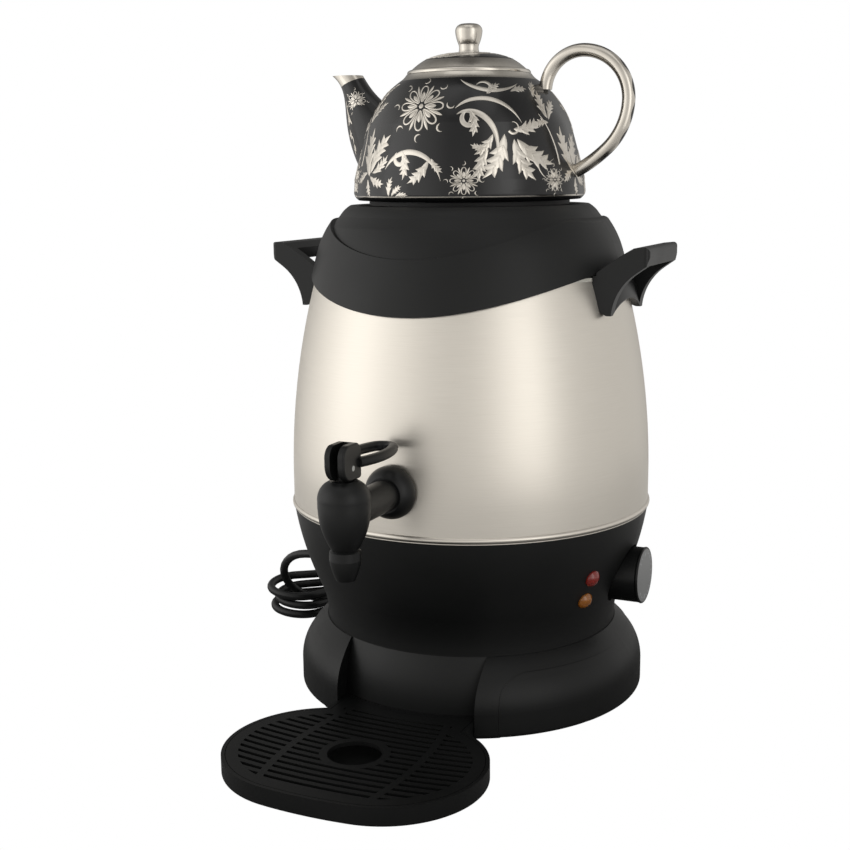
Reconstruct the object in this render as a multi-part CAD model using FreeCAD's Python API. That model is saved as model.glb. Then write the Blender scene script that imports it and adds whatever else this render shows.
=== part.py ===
"""Electric tea urn: a steel barrel on a plastic housing, with a lift-off cap, a porcelain teapot on top,
a lever tap, a drip tray, a thermostat knob and a mains cord. All sizes are in millimetres.
Origin: the barrel's axis at counter level. Z is up, the tap faces -Y, the knob faces +X."""
import FreeCAD, Part
import os
from math import acos, asin, atan2, cos, degrees, hypot, pi, radians, sin, sqrt, tan

V = FreeCAD.Vector

# Driving sizes of the stand: feet, base skirt and the neck that carries the housing
foot_proud = 1.5
foot_radius = 9.0
foot_recess = 1.2
foot_circle = 68.0
base_radius = 112.2
base_wall = 2.6
base_upright_top = 17.0
neck_z = 46.0
neck_radius = 94.5
neck_flange_depth = 12.0
step_proud = 0.6
step_z = 38.5
step_half_width = 58.0
step_corner = 11.0
recess_half_width = 45.5
recess_bottom_radius = 100.5
recess_top_radius = 93.6
recess_sill_z = 12.2
base_plate_thickness = 2.0
base_plate_z = 2.6
plate_gap = 0.4
post_angles = (20.0, 70.0, 130.0, 220.0, 320.0)
post_circle = 88.0
post_radius = 4.0
base_screw_radius = 1.5
base_screw_grip = 9.0
base_screw_head = 3.2
base_screw_head_height = 2.0
vent_count = 9
vent_pitch = 9.0
vent_width = 3.2
vent_front_y = 12.0
vent_back_y = 52.0

# Lower housing, the black bowl that holds the heater and the controls
housing_top_z = 120.5
housing_top_radius = 114.0
housing_neck_radius = 93.8
housing_swell_z = 69.0
housing_swell_radius = 98.6
housing_wall = 2.5
housing_web = 2.5
housing_web_depth = 24.0

# Steel barrel, which is also the water tank
barrel_radius = 114.1
barrel_wall = 0.8
barrel_straight_top = 140.0
barrel_bulge = 468.0
barrel_top = 266.0
bead_proud = 1.1
bead_height = 3.6
rim_radius = 1.6
pan_drop = 6.0
pan_radius = 103.0
pan_wall = 1.0
pan_collar = 7.0

# Heater, control parts and what holds the stack together
heater_radius = 62.0
heater_thickness = 5.0
element_ring_radius = 46.0
element_radius = 4.0
element_gap_degrees = 50.0
element_pin_length = 13.0
cutout_radius = 9.0
cutout_height = 9.0
tie_circle = 76.0
tie_radius = 2.5
tie_angles = (52.0, 198.0, 302.0)
nut_height = 4.0
nut_across = 8.0
terminal_length = 42.0
terminal_width = 18.0
terminal_height = 16.0
terminal_x = -40.0
terminal_y = 30.0
terminal_pitch = 12.0
lead_radius = 1.2

# Knob, lamps and their places on the housing
knob_z = 82.0
knob_radius = 17.6
knob_front_x = 117.5
knob_back_x = 96.0
knob_wall = 2.2
knob_face_thickness = 1.2
knob_face_radius = 16.6
pocket_clearance = 0.8
pocket_floor_x = 94.6
pocket_wall = 2.4
spindle_radius = 3.0
spindle_fit = 0.05
spindle_flat = 1.0
thermostat_depth = 27.0
thermostat_width = 32.0
thermostat_height = 30.0
lamp_radius = 5.2
lamp_dome = 3.0
lamp_flange = 0.8
lamp_depth = 9.0
lamp_fit = 0.05
lamp_places = (("red", 90.0, 24.2), ("amber", 75.0, 24.4))

# Cap, the lift-off lid of the tank, with its swept step and lower edge
cap_top_z = 309.5
cap_top_radius = 74.5
cap_wall = 2.6
cap_gap = 0.4
cap_edge_z = 248.5
cap_edge_sweep = 213.0
cap_step_z = 280.7
cap_step_sweep = 151.5
steam_hole_radius = 28.0
chimney_wall = 2.2
liner_wall = 0.8
gasket_height = 2.0
seat_ring_radius = 62.5
seat_ring_width = 8.0
seat_ring_proud = 3.0
seat_ring_groove = 1.2

# Side handles
handle_reach = 125.0
handle_bar_width = 15.0
handle_bar_top = 286.0
handle_bar_height = 11.0
handle_half_width = 33.0
handle_arm = 7.0
handle_tip_z = 246.0
handle_plate = 5.0
handle_arch_rise = 8.0
handle_cap_gap = 0.7
handle_cap_reach = 98.8
handle_corner = 3.2
handle_screw_z = 258.0
handle_screw_radius = 2.0
handle_screw_depth = 7.0
handle_screw_inset = 4.9
handle_screw_head = 4.0

# Tap: body, bonnet, stem, spring, seat cup and lever
tap_z = 150.0
tap_y = -172.0
tap_flange_radius = 15.5
tap_shank_radius = 9.2
tap_cup_radius = 14.3
tap_seam_z = 154.0
tap_waist_z = 131.0
tap_waist_radius = 7.3
tap_collar_radius = 8.5
tap_outlet_z = 114.0
tap_outlet_radius = 5.2
tap_wall = 2.6
tap_bore_radius = 5.0
tap_thread_radius = 7.6
tap_thread_length = 17.0
bonnet_top_z = 169.0
bonnet_top_radius = 8.4
gasket_radius = 13.0
gasket_thickness = 1.6
tap_nut_height = 6.0
tap_nut_across = 22.0
stem_radius = 2.2
stem_fit = 0.05
stem_travel = 4.0
tongue_width = 4.4
tongue_length = 6.0
pivot_height = 7.0
pivot_pin_radius = 1.5
pivot_fit = 0.05
lever_width = 12.0
lever_slot = 4.8
lever_clear = 0.3
lever_top = 13.0
lever_back = 9.5
loop_half_width = 12.5
loop_far_gap = 4.0
loop_bar = 5.6
loop_end_radius = 9.5
loop_z = 178.0
seat_cup_radius = 6.2
spring_turns = 5
spring_wire = 0.45
spring_radius = 4.4

# Drip tray and its grille
tray_front_y = -224.6
tray_half_width = 77.0
tray_side_radius = 57.0
tray_side_y = -166.5
tray_bottom_z = 1.0
tray_height = 10.8
tray_wall = 2.2
tray_floor = 1.8
tray_gap = 0.5
tongue_bottom_z = 5.2
tongue_back_y = -72.0
tongue_gap = 0.6
tray_tail_length = 18.0
grille_thickness = 2.4
grille_rim = 3.0
grille_gap = 0.35
grille_hole_radius = 15.5
grille_hole_y = -166.0
grille_hole_ring = 4.5
slot_width = 2.7
slot_pitch = 6.1
slot_bow = 380.0
slot_margin = 9.5
slot_first = 13.1
rib_width = 4.2
rib_half_gap = 38.5
rib_bow = 230.0

# Porcelain teapot
pot_wall = 3.4
pot_foot_radius = 69.0
pot_belly_radius = 71.8
pot_waist_z = 45.0
pot_waist_radius = 62.8
pot_shoulder_z = 72.3
pot_shoulder_radius = 41.4
pot_mouth_z = 75.3
pot_mouth_radius = 38.6
pot_opening_radius = 31.0
pot_foot_recess = 1.6
pot_handle_y = 8.6
pot_handle_thick = 7.8
spout_wall = 2.8
spout_lip = 1.7
pot_lid_fit = 0.6
pot_lid_wall = 3.2
pot_lid_plug_depth = 9.0

# Mains cord, gland, hank and plug
cord_radius = 3.0
gland_angle = 166.0
gland_z = 58.0
gland_length = 22.0
gland_depth = 9.0
gland_root_radius = 5.6
gland_tip_radius = 4.2
gland_flange_radius = 8.0
gland_flange = 2.4
hank_centre = (-129.5, 109.5)
hank_yaw = 52.0
hank_loops = 3
hank_half_length = 80.0
hank_waist = 8.0
hank_step = 6.9
hank_floor = 4.1
hank_tie_width = 11.0
hank_tie_wall = 0.7
hank_tie_gap = 0.3
plug_radius = 17.5
plug_length = 38.0
plug_pin_radius = 2.4
plug_pin_length = 19.0
plug_pin_pitch = 19.0


def arc(start, via, end):
    """An arc edge through three points."""
    return Part.Arc(start, via, end).toShape()


def outline(points, place):
    """A closed wire. A bare (u, v) is reached by a straight line, a pair (via, end) by an arc."""
    edges = []
    first = place(*points[0])
    here = first
    for item in points[1:]:
        if isinstance(item[0], tuple):
            end = place(*item[1])
            edges.append(arc(here, place(*item[0]), end))
        else:
            end = place(*item)
            edges.append(Part.LineSegment(here, end).toShape())
        here = end
    if here.distanceToPoint(first) > 1e-6:
        edges.append(Part.LineSegment(here, first).toShape())
    return Part.Wire(edges)


def tangent_arcs(start, lean, ends):
    """Arc steps (via, end) through the points in turn, each leaving the way the last one arrived.
    lean is the first direction, in degrees from +u towards +v."""
    steps = []
    here = start
    heading = radians(lean)
    for end in ends:
        chord = hypot(end[0] - here[0], end[1] - here[1])
        aim_angle = atan2(end[1] - here[1], end[0] - here[0])
        half_turn = (aim_angle - heading + pi) % (2 * pi) - pi
        sag = chord / 2 * tan(half_turn / 2)
        via = ((here[0] + end[0]) / 2 + sag * sin(aim_angle), (here[1] + end[1]) / 2 - sag * cos(aim_angle))
        steps.append((via, end))
        heading = aim_angle + half_turn
        here = end
    return steps


def in_xz(u, v):
    """Places an outline in the XZ plane."""
    return V(u, 0, v)


def turned(points):
    """A solid of revolution about Z from an outline of (radius, z)."""
    return Part.Face(outline(points, in_xz)).revolve(V(0, 0, 0), V(0, 0, 1), 360)


def prism(points, place, sweep):
    """A solid swept from a flat outline."""
    return Part.Face(outline(points, place)).extrude(sweep)


def block(x0, x1, y0, y1, z0, z1):
    """A box between two corners."""
    return Part.makeBox(x1 - x0, y1 - y0, z1 - z0, V(x0, y0, z0))


def rod(radius, start, end):
    """A round bar between two points."""
    return Part.makeCylinder(radius, (end - start).Length, start, end - start)


def tube(outer, inner, start, end):
    """A round bar with a bore right through."""
    return rod(outer, start, end).cut(rod(inner, start, end))


def hexagon(across, base, way):
    """A hexagonal prism on a base point, along a way vector."""
    corner = across / sqrt(3)
    points = [(corner * cos(radians(60 * k)), corner * sin(radians(60 * k))) for k in range(6)]
    solid = prism(points, lambda u, v: V(u, v, 0), V(0, 0, way.Length))
    return aimed(solid, base, way)


def aimed(solid, base, way):
    """Turns a solid built along +Z to point along way, and sets its origin on base."""
    placed = solid.copy()
    placed.Placement = FreeCAD.Placement(base, FreeCAD.Rotation(V(0, 0, 1), way))
    return placed


def turned_about(angle, solid):
    """A copy turned about the barrel's axis, in degrees."""
    placed = solid.copy()
    placed.rotate(V(0, 0, 0), V(0, 0, 1), angle)
    return placed


def union(solids):
    """One solid from touching ones."""
    whole = solids[0].fuse(solids[1:]) if len(solids) > 1 else solids[0]
    whole = whole.removeSplitter()
    return whole.Solids[0] if len(whole.Solids) == 1 else whole


def save(name, shape):
    """Writes one node, after a check that it is sound."""
    if not shape.isValid():
        print("not valid:", name)
    count = len(shape.Solids)
    print(f"{name}: {count} solid(s), {shape.Volume:.0f} mm3")
    if shape.ShapeType != "Solid":
        shape = shape.Solids[0] if count == 1 else Part.makeCompound(shape.Solids)
    shape.exportStep(f"parts/{name}.step")


def barrel_r(z):
    """Outer radius of the barrel: upright, then leaning in on one large arc."""
    rise = max(0.0, z - barrel_straight_top)
    return barrel_radius - barrel_bulge + sqrt(barrel_bulge ** 2 - rise ** 2)


def barrel_lean(z):
    """How far the barrel's face leans back at a height, in degrees."""
    return degrees(asin(max(0.0, z - barrel_straight_top) / barrel_bulge))


def barrel_solid(offset, bottom, top):
    """The barrel's outer form as a full solid, grown by an offset."""
    middle = (barrel_straight_top + top) / 2
    return turned([(0, bottom), (barrel_radius + offset, bottom),
                   (barrel_radius + offset, barrel_straight_top),
                   ((barrel_r(middle) + offset, middle), (barrel_r(top) + offset, top)), (0, top)])


def housing_outline(offset):
    """The bowl's side as tangent arcs from the neck up, moved in by an offset."""
    start = (housing_neck_radius - offset, neck_z + 1.0)
    return start, tangent_arcs(start, 90.0, [(housing_swell_radius - offset, housing_swell_z),
                                             (housing_top_radius - offset, housing_top_z)])


def housing_solid(offset):
    """The bowl's form as a full solid, moved in by an offset."""
    start, sides = housing_outline(offset)
    return turned([(0, neck_z), (housing_neck_radius - offset, neck_z),
                   start] + sides + [(0, housing_top_z)])


def housing_point(angle, z, offset=0.0):
    """The point on the bowl's outer face at an angle about Z from +X and a height, and its normal."""
    skin = housing_solid(offset)
    way = V(cos(radians(angle)), sin(radians(angle)), 0)
    ray = Part.LineSegment(V(0, 0, z), V(0, 0, z) + way * 150).toShape()
    inside = ray.common(skin)
    radius = inside.Length
    above = Part.LineSegment(V(0, 0, z + 1), V(0, 0, z + 1) + way * 150).toShape().common(skin).Length
    lean = atan2(above - radius, 1.0)
    return way * radius + V(0, 0, z), V(way.x * cos(lean), way.y * cos(lean), -sin(lean))


def base_outline(offset):
    """The skirt's outer side from the counter up to the neck."""
    upright = (base_radius - offset, base_upright_top)
    steps = tangent_arcs(upright, 90.0, [(base_radius - 6.0 - offset, 34.5),
                                         (neck_radius - offset * 0.6, neck_z)])
    return upright, steps


def base_solid(offset, bottom):
    """The skirt's form as a full solid."""
    upright, steps = base_outline(offset)
    foot = base_radius - offset
    edge = 3.0
    return turned([(0, bottom), (foot - edge, bottom), ((foot - edge * 0.29, bottom + edge * 0.29),
                                                        (foot, bottom + edge)),
                   upright] + steps + [(0, neck_z)])


def recess_solid(grow):
    """The front hollow over the tray: everything outside a leaning round wall, between two upright sides."""
    half = recess_half_width + grow
    wall = [(recess_bottom_radius - grow, 0), (recess_bottom_radius - grow, recess_sill_z),
            ((recess_bottom_radius - 1.4 - grow, 30.0), (recess_top_radius - grow, neck_z)),
            (recess_top_radius - grow, neck_z + 2), (base_radius + 20, neck_z + 2), (base_radius + 20, 0)]
    return turned(wall).common(block(-half, half, -base_radius - 30, 0, -1, neck_z + 3))


def base_skirt():
    """The spreading base: a shell with a sunk panel all round, a front hollow, a flange that carries
    the housing, posts for the bottom plate and a mouth for the tray's tongue."""
    whole = base_solid(0, foot_proud)
    sunk = base_solid(0, foot_proud).cut(base_solid(step_proud, foot_proud))
    corner = step_corner
    panel = [(step_half_width, -2), (base_radius + 9, -2), (base_radius + 9, step_z),
             (step_half_width + corner, step_z),
             ((step_half_width + corner * 0.293, step_z - corner * 0.293),
              (step_half_width, step_z - corner))]
    side = prism(panel, lambda u, v: V(u, 0, v), V(0, -base_radius - 9, 0))
    other = side.mirror(V(0, 0, 0), V(1, 0, 0))
    back = block(-base_radius - 9, base_radius + 9, 0, base_radius + 9, -2, step_z)
    whole = whole.cut(sunk.common(union([side, other, back])))
    whole = whole.cut(recess_solid(0))
    hollow = base_solid(base_wall + step_proud, 0).cut(recess_solid(base_wall))
    hollow = hollow.common(Part.makeCylinder(base_radius, neck_z - base_wall))
    shell = whole.cut(hollow)
    shell = shell.cut(Part.makeCylinder(neck_radius - neck_flange_depth - 14, neck_z + 1))
    posts = []
    for angle in post_angles:
        way = V(cos(radians(angle)), sin(radians(angle)), 0) * post_circle
        posts.append(rod(post_radius, way + V(0, 0, plate_top()), way + V(0, 0, neck_z - base_wall)))
    shell = union([shell] + posts)
    mouth_half = recess_half_width - tray_gap
    shell = shell.cut(block(-mouth_half, mouth_half, -base_radius - 5, 0, -1, recess_sill_z - 0.6))
    for angle in tie_angles:
        way = V(cos(radians(angle)), sin(radians(angle)), 0) * tie_circle
        shell = shell.cut(rod(tie_radius + 0.2, way + V(0, 0, neck_z - 9), way + V(0, 0, neck_z + 1)))
    for angle in post_angles:
        way = V(cos(radians(angle)), sin(radians(angle)), 0) * post_circle
        shell = shell.cut(rod(base_screw_radius, way + V(0, 0, 0),
                              way + V(0, 0, plate_top() + base_screw_grip)))
    return shell


def plate_top():
    """Upper face of the bottom plate."""
    return base_plate_z + base_plate_thickness


def foot_ways():
    """The five places of the rubber feet: one in the middle, four on a circle."""
    angles = (40.0, 140.0, 220.0, 320.0)
    return [V(0, 0, 0)] + [V(cos(radians(a)), sin(radians(a)), 0) * foot_circle for a in angles]


def base_plate():
    """The flat bottom cover, cut straight in front so that the tray runs under the skirt."""
    radius = base_radius - base_wall - step_proud - plate_gap
    plate = Part.makeCylinder(radius, base_plate_thickness, V(0, 0, base_plate_z))
    plate = plate.cut(recess_solid(base_wall + plate_gap))
    for way in foot_ways():
        plate = plate.cut(rod(foot_radius, way + V(0, 0, base_plate_z - 1),
                              way + V(0, 0, base_plate_z + foot_recess)))
    for angle in post_angles:
        way = V(cos(radians(angle)), sin(radians(angle)), 0) * post_circle
        plate = plate.cut(rod(base_screw_radius + 0.3, way, way + V(0, 0, 20)))
    for k in range(vent_count):
        x = (k - (vent_count - 1) / 2) * vent_pitch
        plate = plate.cut(block(x - vent_width / 2, x + vent_width / 2, vent_front_y, vent_back_y, -1,
                                plate_top() + 1))
    return plate


def rubber_feet():
    """Five soft feet pressed into the plate, the only things that touch the counter."""
    feet = []
    for way in foot_ways():
        foot = rod(foot_radius, way, way + V(0, 0, base_plate_z + foot_recess))
        foot = foot.makeFillet(0.8, [e for e in foot.Edges if e.BoundBox.ZMax < 0.01])
        feet.append(foot)
    return Part.makeCompound(feet)


def base_screws():
    """Pan-head screws that hold the bottom plate to the skirt's posts."""
    screws = []
    for angle in post_angles:
        way = V(cos(radians(angle)), sin(radians(angle)), 0) * post_circle
        head = rod(base_screw_head, way + V(0, 0, base_plate_z - base_screw_head_height + 0.6),
                   way + V(0, 0, base_plate_z))
        shank = rod(base_screw_radius, way + V(0, 0, base_plate_z),
                    way + V(0, 0, plate_top() + base_screw_grip - 1))
        screws.append(union([head, shank]))
    return Part.makeCompound(screws)


def lower_housing():
    """The bowl under the barrel: a shell with a bottom web, a socket for the knob and three holes."""
    shell = housing_solid(0).cut(housing_hollow())
    shell = shell.cut(Part.makeCylinder(housing_neck_radius - housing_web_depth, neck_z + 10))
    cup = rod(knob_radius + pocket_clearance + pocket_wall, V(pocket_floor_x - pocket_wall, 0, knob_z),
              V(base_radius, 0, knob_z)).common(housing_solid(0))
    shell = union([shell, cup])
    shell = shell.cut(rod(knob_radius + pocket_clearance, V(pocket_floor_x, 0, knob_z),
                          V(base_radius + 20, 0, knob_z)))
    shell = shell.cut(rod(spindle_radius + 0.6, V(40, 0, knob_z), V(base_radius, 0, knob_z)))
    for name, z, angle in lamp_places:
        place, normal = housing_point(-angle, z)
        shell = shell.cut(rod(lamp_radius + lamp_fit - 0.7, place - normal * 12, place + normal * 4))
    place, normal = housing_point(gland_angle, gland_z)
    flat = V(normal.x, normal.y, 0).normalize()
    shell = shell.cut(rod(gland_root_radius, place - flat * 14, place + flat * 6))
    for angle in tie_angles:
        way = V(cos(radians(angle)), sin(radians(angle)), 0) * tie_circle
        shell = shell.cut(rod(tie_radius + 0.2, way + V(0, 0, neck_z - 1), way + V(0, 0, neck_z + 9)))
    return shell


def housing_hollow():
    """The space inside the bowl."""
    return housing_solid(housing_wall).common(
        Part.makeCylinder(base_radius + 9, housing_top_z, V(0, 0, neck_z + housing_web)))


def tie_rods():
    """Three studs under the tank's bottom that pull the housing and the base up against the barrel."""
    rods = []
    for angle in tie_angles:
        way = V(cos(radians(angle)), sin(radians(angle)), 0) * tie_circle
        bottom = neck_z - base_wall - nut_height - 3
        rods.append(rod(tie_radius, way + V(0, 0, bottom), way + V(0, 0, pan_z())))
    return Part.makeCompound(rods)


def tie_nuts():
    """The nuts on the three studs, under the base's flange."""
    nuts = []
    for angle in tie_angles:
        way = V(cos(radians(angle)), sin(radians(angle)), 0) * tie_circle
        top = neck_z - base_wall
        nut = hexagon(nut_across, way + V(0, 0, top - nut_height), V(0, 0, nut_height))
        nuts.append(nut.cut(rod(tie_radius, way + V(0, 0, 0), way + V(0, 0, top + 5))))
    return Part.makeCompound(nuts)


def barrel():
    """The brushed steel barrel: a thin drawn wall with a rolled bead below and a curled rim above."""
    wall = barrel_wall
    bottom = housing_top_z
    middle = (barrel_straight_top + barrel_top) / 2
    bead_bottom = bottom + 0.5
    points = [(barrel_radius, bottom), (barrel_radius, bead_bottom),
              ((barrel_radius + bead_proud, bead_bottom + bead_height / 2),
               (barrel_radius, bead_bottom + bead_height)),
              (barrel_radius, barrel_straight_top), ((barrel_r(middle), middle),
                                                     (barrel_r(barrel_top), barrel_top)),
              (barrel_r(barrel_top) - wall, barrel_top),
              ((barrel_r(middle) - wall, middle), (barrel_radius - wall, barrel_straight_top)),
              (barrel_radius - wall, bottom)]
    shell = turned(points)
    rim_centre = barrel_r(barrel_top) - rim_radius
    rim = Part.makeTorus(rim_centre, rim_radius, V(0, 0, barrel_top - rim_radius))
    shell = union([shell, rim])
    shell = shell.cut(rod(tap_thread_radius + 0.2, V(0, -90, tap_z), V(0, -130, tap_z)))
    for centre, way in handle_screw_axes():
        shell = shell.cut(rod(handle_screw_radius + 0.2, centre - way * 14, centre + way * 10))
    return shell


def pan_z():
    """Lower face of the tank's bottom."""
    return housing_top_z - pan_drop


def tank_bottom():
    """The drawn steel pan that closes the barrel, with a collar nested in the barrel's wall."""
    inner = barrel_radius - barrel_wall
    z = pan_z()
    return turned([(0, z), (pan_radius, z), (pan_radius + 4, housing_top_z), (inner, housing_top_z),
                   (inner, housing_top_z + pan_collar), (inner - pan_wall, housing_top_z + pan_collar),
                   (inner - pan_wall, housing_top_z + pan_wall),
                   (pan_radius + 3.4, housing_top_z + pan_wall),
                   (pan_radius - 1, z + pan_wall), (0, z + pan_wall)])


def heater_plate():
    """The cast aluminium disc pressed under the pan, grooved for the element."""
    plate = Part.makeCylinder(heater_radius, heater_thickness, V(0, 0, pan_z() - heater_thickness))
    groove = Part.makeTorus(element_ring_radius, element_radius, element_centre())
    return plate.cut(groove)


def element_centre():
    """Centre of the element's ring, sunk by a third of its radius into the heater plate."""
    return V(0, 0, pan_z() - heater_thickness - element_radius * 0.5)


def heating_element():
    """The sheathed tubular element: an open ring with two cold pins pointing down."""
    centre = element_centre()
    gap = element_gap_degrees
    ring = Part.makeTorus(element_ring_radius, element_radius, centre, V(0, 0, 1), -180, 180, 360 - gap)
    ring = turned_about(90 + gap / 2, ring)
    pins = []
    for side in (-1, 1):
        top = element_pin_place(side)
        pins.append(rod(element_radius * 0.7, top - V(0, 0, element_pin_length), top))
    return union([ring] + pins)


def element_pin_place(side):
    """Where one of the element's cold pins leaves the ring."""
    angle = radians(90 + side * (element_gap_degrees / 2 + 4))
    return V(element_ring_radius * cos(angle), element_ring_radius * sin(angle), element_centre().z)


def thermal_cutout():
    """The button-shaped safety cut-out clipped under the middle of the heater plate."""
    top = pan_z() - heater_thickness
    body = rod(cutout_radius, V(0, 0, top - cutout_height), V(0, 0, top))
    tabs = [block(side * 4 - 1.5, side * 4 + 1.5, -3, 3, top - cutout_height - 6, top - cutout_height)
            for side in (-1, 1)]
    return union([body] + tabs)


def thermostat():
    """The thermostat's body, screwed behind the knob's socket."""
    front = pocket_floor_x - pocket_wall
    half = thermostat_width / 2
    body = block(front - thermostat_depth, front, -half, half, knob_z - thermostat_height / 2,
                 knob_z + thermostat_height / 2)
    body = body.makeFillet(1.2, [e for e in body.Edges if e.BoundBox.XLength > thermostat_depth - 0.1])
    tabs = [block(front - thermostat_depth - 7, front - thermostat_depth, y - 0.5, y + 0.5, knob_z - 4,
                  knob_z + 4)
            for y in (-8.0, 8.0)]
    body = union([body] + tabs)
    return body.cut(rod(spindle_radius + spindle_fit, V(front - 12, 0, knob_z), V(front + 1, 0, knob_z)))


def thermostat_spindle():
    """The turning shaft, with a flat for the knob at its outer end."""
    start = pocket_floor_x - pocket_wall - 11.6
    end = knob_front_x - 4.0
    shaft = rod(spindle_radius, V(start, 0, knob_z), V(end, 0, knob_z))
    flat = block(knob_back_x, end + 1, -10, 10, knob_z + spindle_radius - spindle_flat, knob_z + 10)
    return shaft.cut(flat)


def knob():
    """The round control knob: a cup with a hub on the spindle, ribbed round its rim."""
    length = knob_front_x - knob_back_x
    body = turned([(0, 0), (knob_radius - 0.4, 0), (knob_radius - 0.4, length - 2),
                   (knob_radius, length - 1),
                   ((knob_radius - 0.2, length - 0.3), (knob_radius - 0.8, length)), (0, length)])
    body = body.cut(Part.makeCylinder(knob_face_radius, 5, V(0, 0, length - knob_face_thickness)))
    hollow = Part.makeCylinder(knob_radius - knob_wall, length - 6).cut(Part.makeCylinder(6, length))
    body = aimed(body.cut(hollow), V(knob_back_x, 0, knob_z), V(1, 0, 0))
    return body.cut(thermostat_spindle())


def knob_face():
    """The grey disc let into the knob's front."""
    start = knob_front_x - knob_face_thickness
    return rod(knob_face_radius - 0.1, V(start, 0, knob_z), V(knob_front_x, 0, knob_z))


def lamp_lens(z, angle):
    """A domed lens pushed through the housing, with a flange that rests on it."""
    place, normal = housing_point(-angle, z)
    body = rod(lamp_radius - 0.7, place - normal * lamp_depth, place + normal * 0.2)
    sphere_radius = (lamp_radius ** 2 + lamp_dome ** 2) / (2 * lamp_dome)
    dome = Part.makeSphere(sphere_radius, place + normal * (lamp_dome + lamp_flange - sphere_radius))
    dome = dome.common(rod(lamp_radius, place - normal * 1.5, place + normal * 20))
    lens = union([body, dome]).cut(rod(lamp_radius - 1.9, place - normal * (lamp_depth + 1),
                                       place + normal * 0.5))
    seat = housing_solid(0).cut(rod(lamp_radius - 0.7, place - normal * 20, place + normal * 20))
    return lens.cut(seat)


def neon_lamp(z, angle):
    """The little glass lamp behind a lens, held by its two leads."""
    place, normal = housing_point(-angle, z)
    return rod(lamp_radius - 2.0, place - normal * (lamp_depth + 4), place - normal * 1.0)


def handle_screw_axes():
    """The point on the barrel's outer face and the outward way of each handle screw."""
    axes = []
    radius = barrel_r(handle_screw_z)
    spread = degrees(asin((handle_half_width - handle_screw_inset) / radius))
    lean = radians(barrel_lean(handle_screw_z))
    for side in (0, 180):
        for swing in (-spread, spread):
            angle = radians(side + swing)
            way = V(cos(angle) * cos(lean), sin(angle) * cos(lean), sin(lean))
            axes.append((V(radius * cos(angle), radius * sin(angle), handle_screw_z), way))
    return axes


def handle(side):
    """A moulded side handle: two blade arms and a cross bar round a finger gap, on a plate that
    hugs the barrel and ends below in an arch between two points. side is +1 for +X."""
    reach = handle_reach
    top = handle_bar_top
    low = top - handle_bar_height
    tip = (barrel_r(handle_tip_z) - 2.0, handle_tip_z)
    blade = [(60, handle_tip_z + 22), tip, (barrel_r(handle_tip_z) + 1.0, handle_tip_z),
             ((106.5, 258.5), (reach - 8, low - 4.5)), (reach - 1.5, low), (reach, low + 5),
             (reach, top - 3),
             ((reach - 0.9, top - 0.9), (reach - 3, top)), (reach - 9, top - 0.6),
             ((108.5, 281.0), (92.0, 269.5)), (60, 269.5)]
    half = handle_half_width
    whole = prism(blade, lambda u, v: V(u, -half, v), V(0, 2 * half, 0))
    inner = half - handle_arm
    plate_shell = barrel_solid(handle_plate, 200, 290)
    bar_inner = reach - handle_bar_width
    gap = block(0, bar_inner, -inner, inner, 200, 320)
    under = block(0, reach + 5, -inner, inner, 200, low - 0.01)
    whole = whole.cut(union([gap, under]).cut(plate_shell))
    arch_half = inner + 3.0
    arch_radius = (arch_half ** 2 + handle_arch_rise ** 2) / (2 * handle_arch_rise)
    arch_z = handle_tip_z + handle_arch_rise - arch_radius
    whole = whole.cut(rod(arch_radius, V(60, 0, arch_z), V(140, 0, arch_z)))
    round_by = handle_corner
    mid = round_by * (1 - sqrt(0.5))
    plan = [(0, -half), (reach - round_by, -half), ((reach - mid, -half + mid), (reach, -half + round_by)),
            (reach, half - round_by), ((reach - mid, half - mid), (reach - round_by, half)), (0, half)]
    whole = whole.common(prism(plan, flat_place(200), V(0, 0, 120)))
    whole = whole.cut(barrel_solid(0, 200, barrel_top))
    whole = whole.cut(Part.makeCylinder(barrel_r(barrel_top) + handle_cap_gap, 60,
                                        V(0, 0, barrel_top - 0.5)))
    sweep = Part.makeCylinder(handle_cap_reach + handle_cap_gap, 80, V(0, 0, handle_cap_cut_z()))
    whole = whole.cut(sweep)
    if side < 0:
        whole = whole.mirror(V(0, 0, 0), V(1, 0, 0))
    for centre, way in handle_screw_axes():
        if centre.x * side > 0:
            whole = whole.cut(rod(handle_screw_radius, centre - way * 3, centre + way * handle_screw_depth))
    return union([whole])


def handle_cap_cut_z():
    """Height above which a handle stays clear of the cap on its way up."""
    nearest = sqrt(handle_cap_reach ** 2 - handle_half_width ** 2)
    return cap_edge_height(nearest) - handle_cap_gap


def cap_edge_height(x):
    """Height of the cap's lower edge at a distance from the YZ plane, on a cylinder along Y."""
    return cap_edge_z + cap_edge_sweep - sqrt(cap_edge_sweep ** 2 - x ** 2)


def handle_screws():
    """Screws from inside the tank into the handles, two each."""
    screws = []
    for centre, way in handle_screw_axes():
        seat = centre - way * barrel_wall
        shank = rod(handle_screw_radius, seat, centre + way * (handle_screw_depth - 0.5))
        head = rod(handle_screw_head, seat - way * 3.0, seat - way * 0.35)
        washer = rod(handle_screw_radius, seat - way * 0.4, seat)
        screws.append(union([shank, head, washer]))
    return Part.makeCompound(screws)


def cap_upper(offset):
    """The cap's upper dome as a full solid, moved in by an offset."""
    top = cap_top_z - offset
    return turned([(0, 240), (103 - offset, 240), (97 - offset, 268),
                   ((94.0 - offset, 280.5), (86.2 - offset, 297)), (81 - offset * 1.2, 303.2 - offset * 0.4),
                   ((78.0 - offset * 1.1, 306.9 - offset * 0.7), (cap_top_radius - offset * 0.6, top)),
                   (0, top)])


def cap_outer():
    """The cap's lower shell, a little proud of the dome."""
    return turned([(0, 240), (103.6, 240), (102.7, 249.5), ((99.3, 267.5), (95.4, 282.2)),
                   ((92.6, 289.8), (87.2, 299.2)), ((86.0, 300.7), (83.6, 301.6)), (0, 301.6)])


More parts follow.
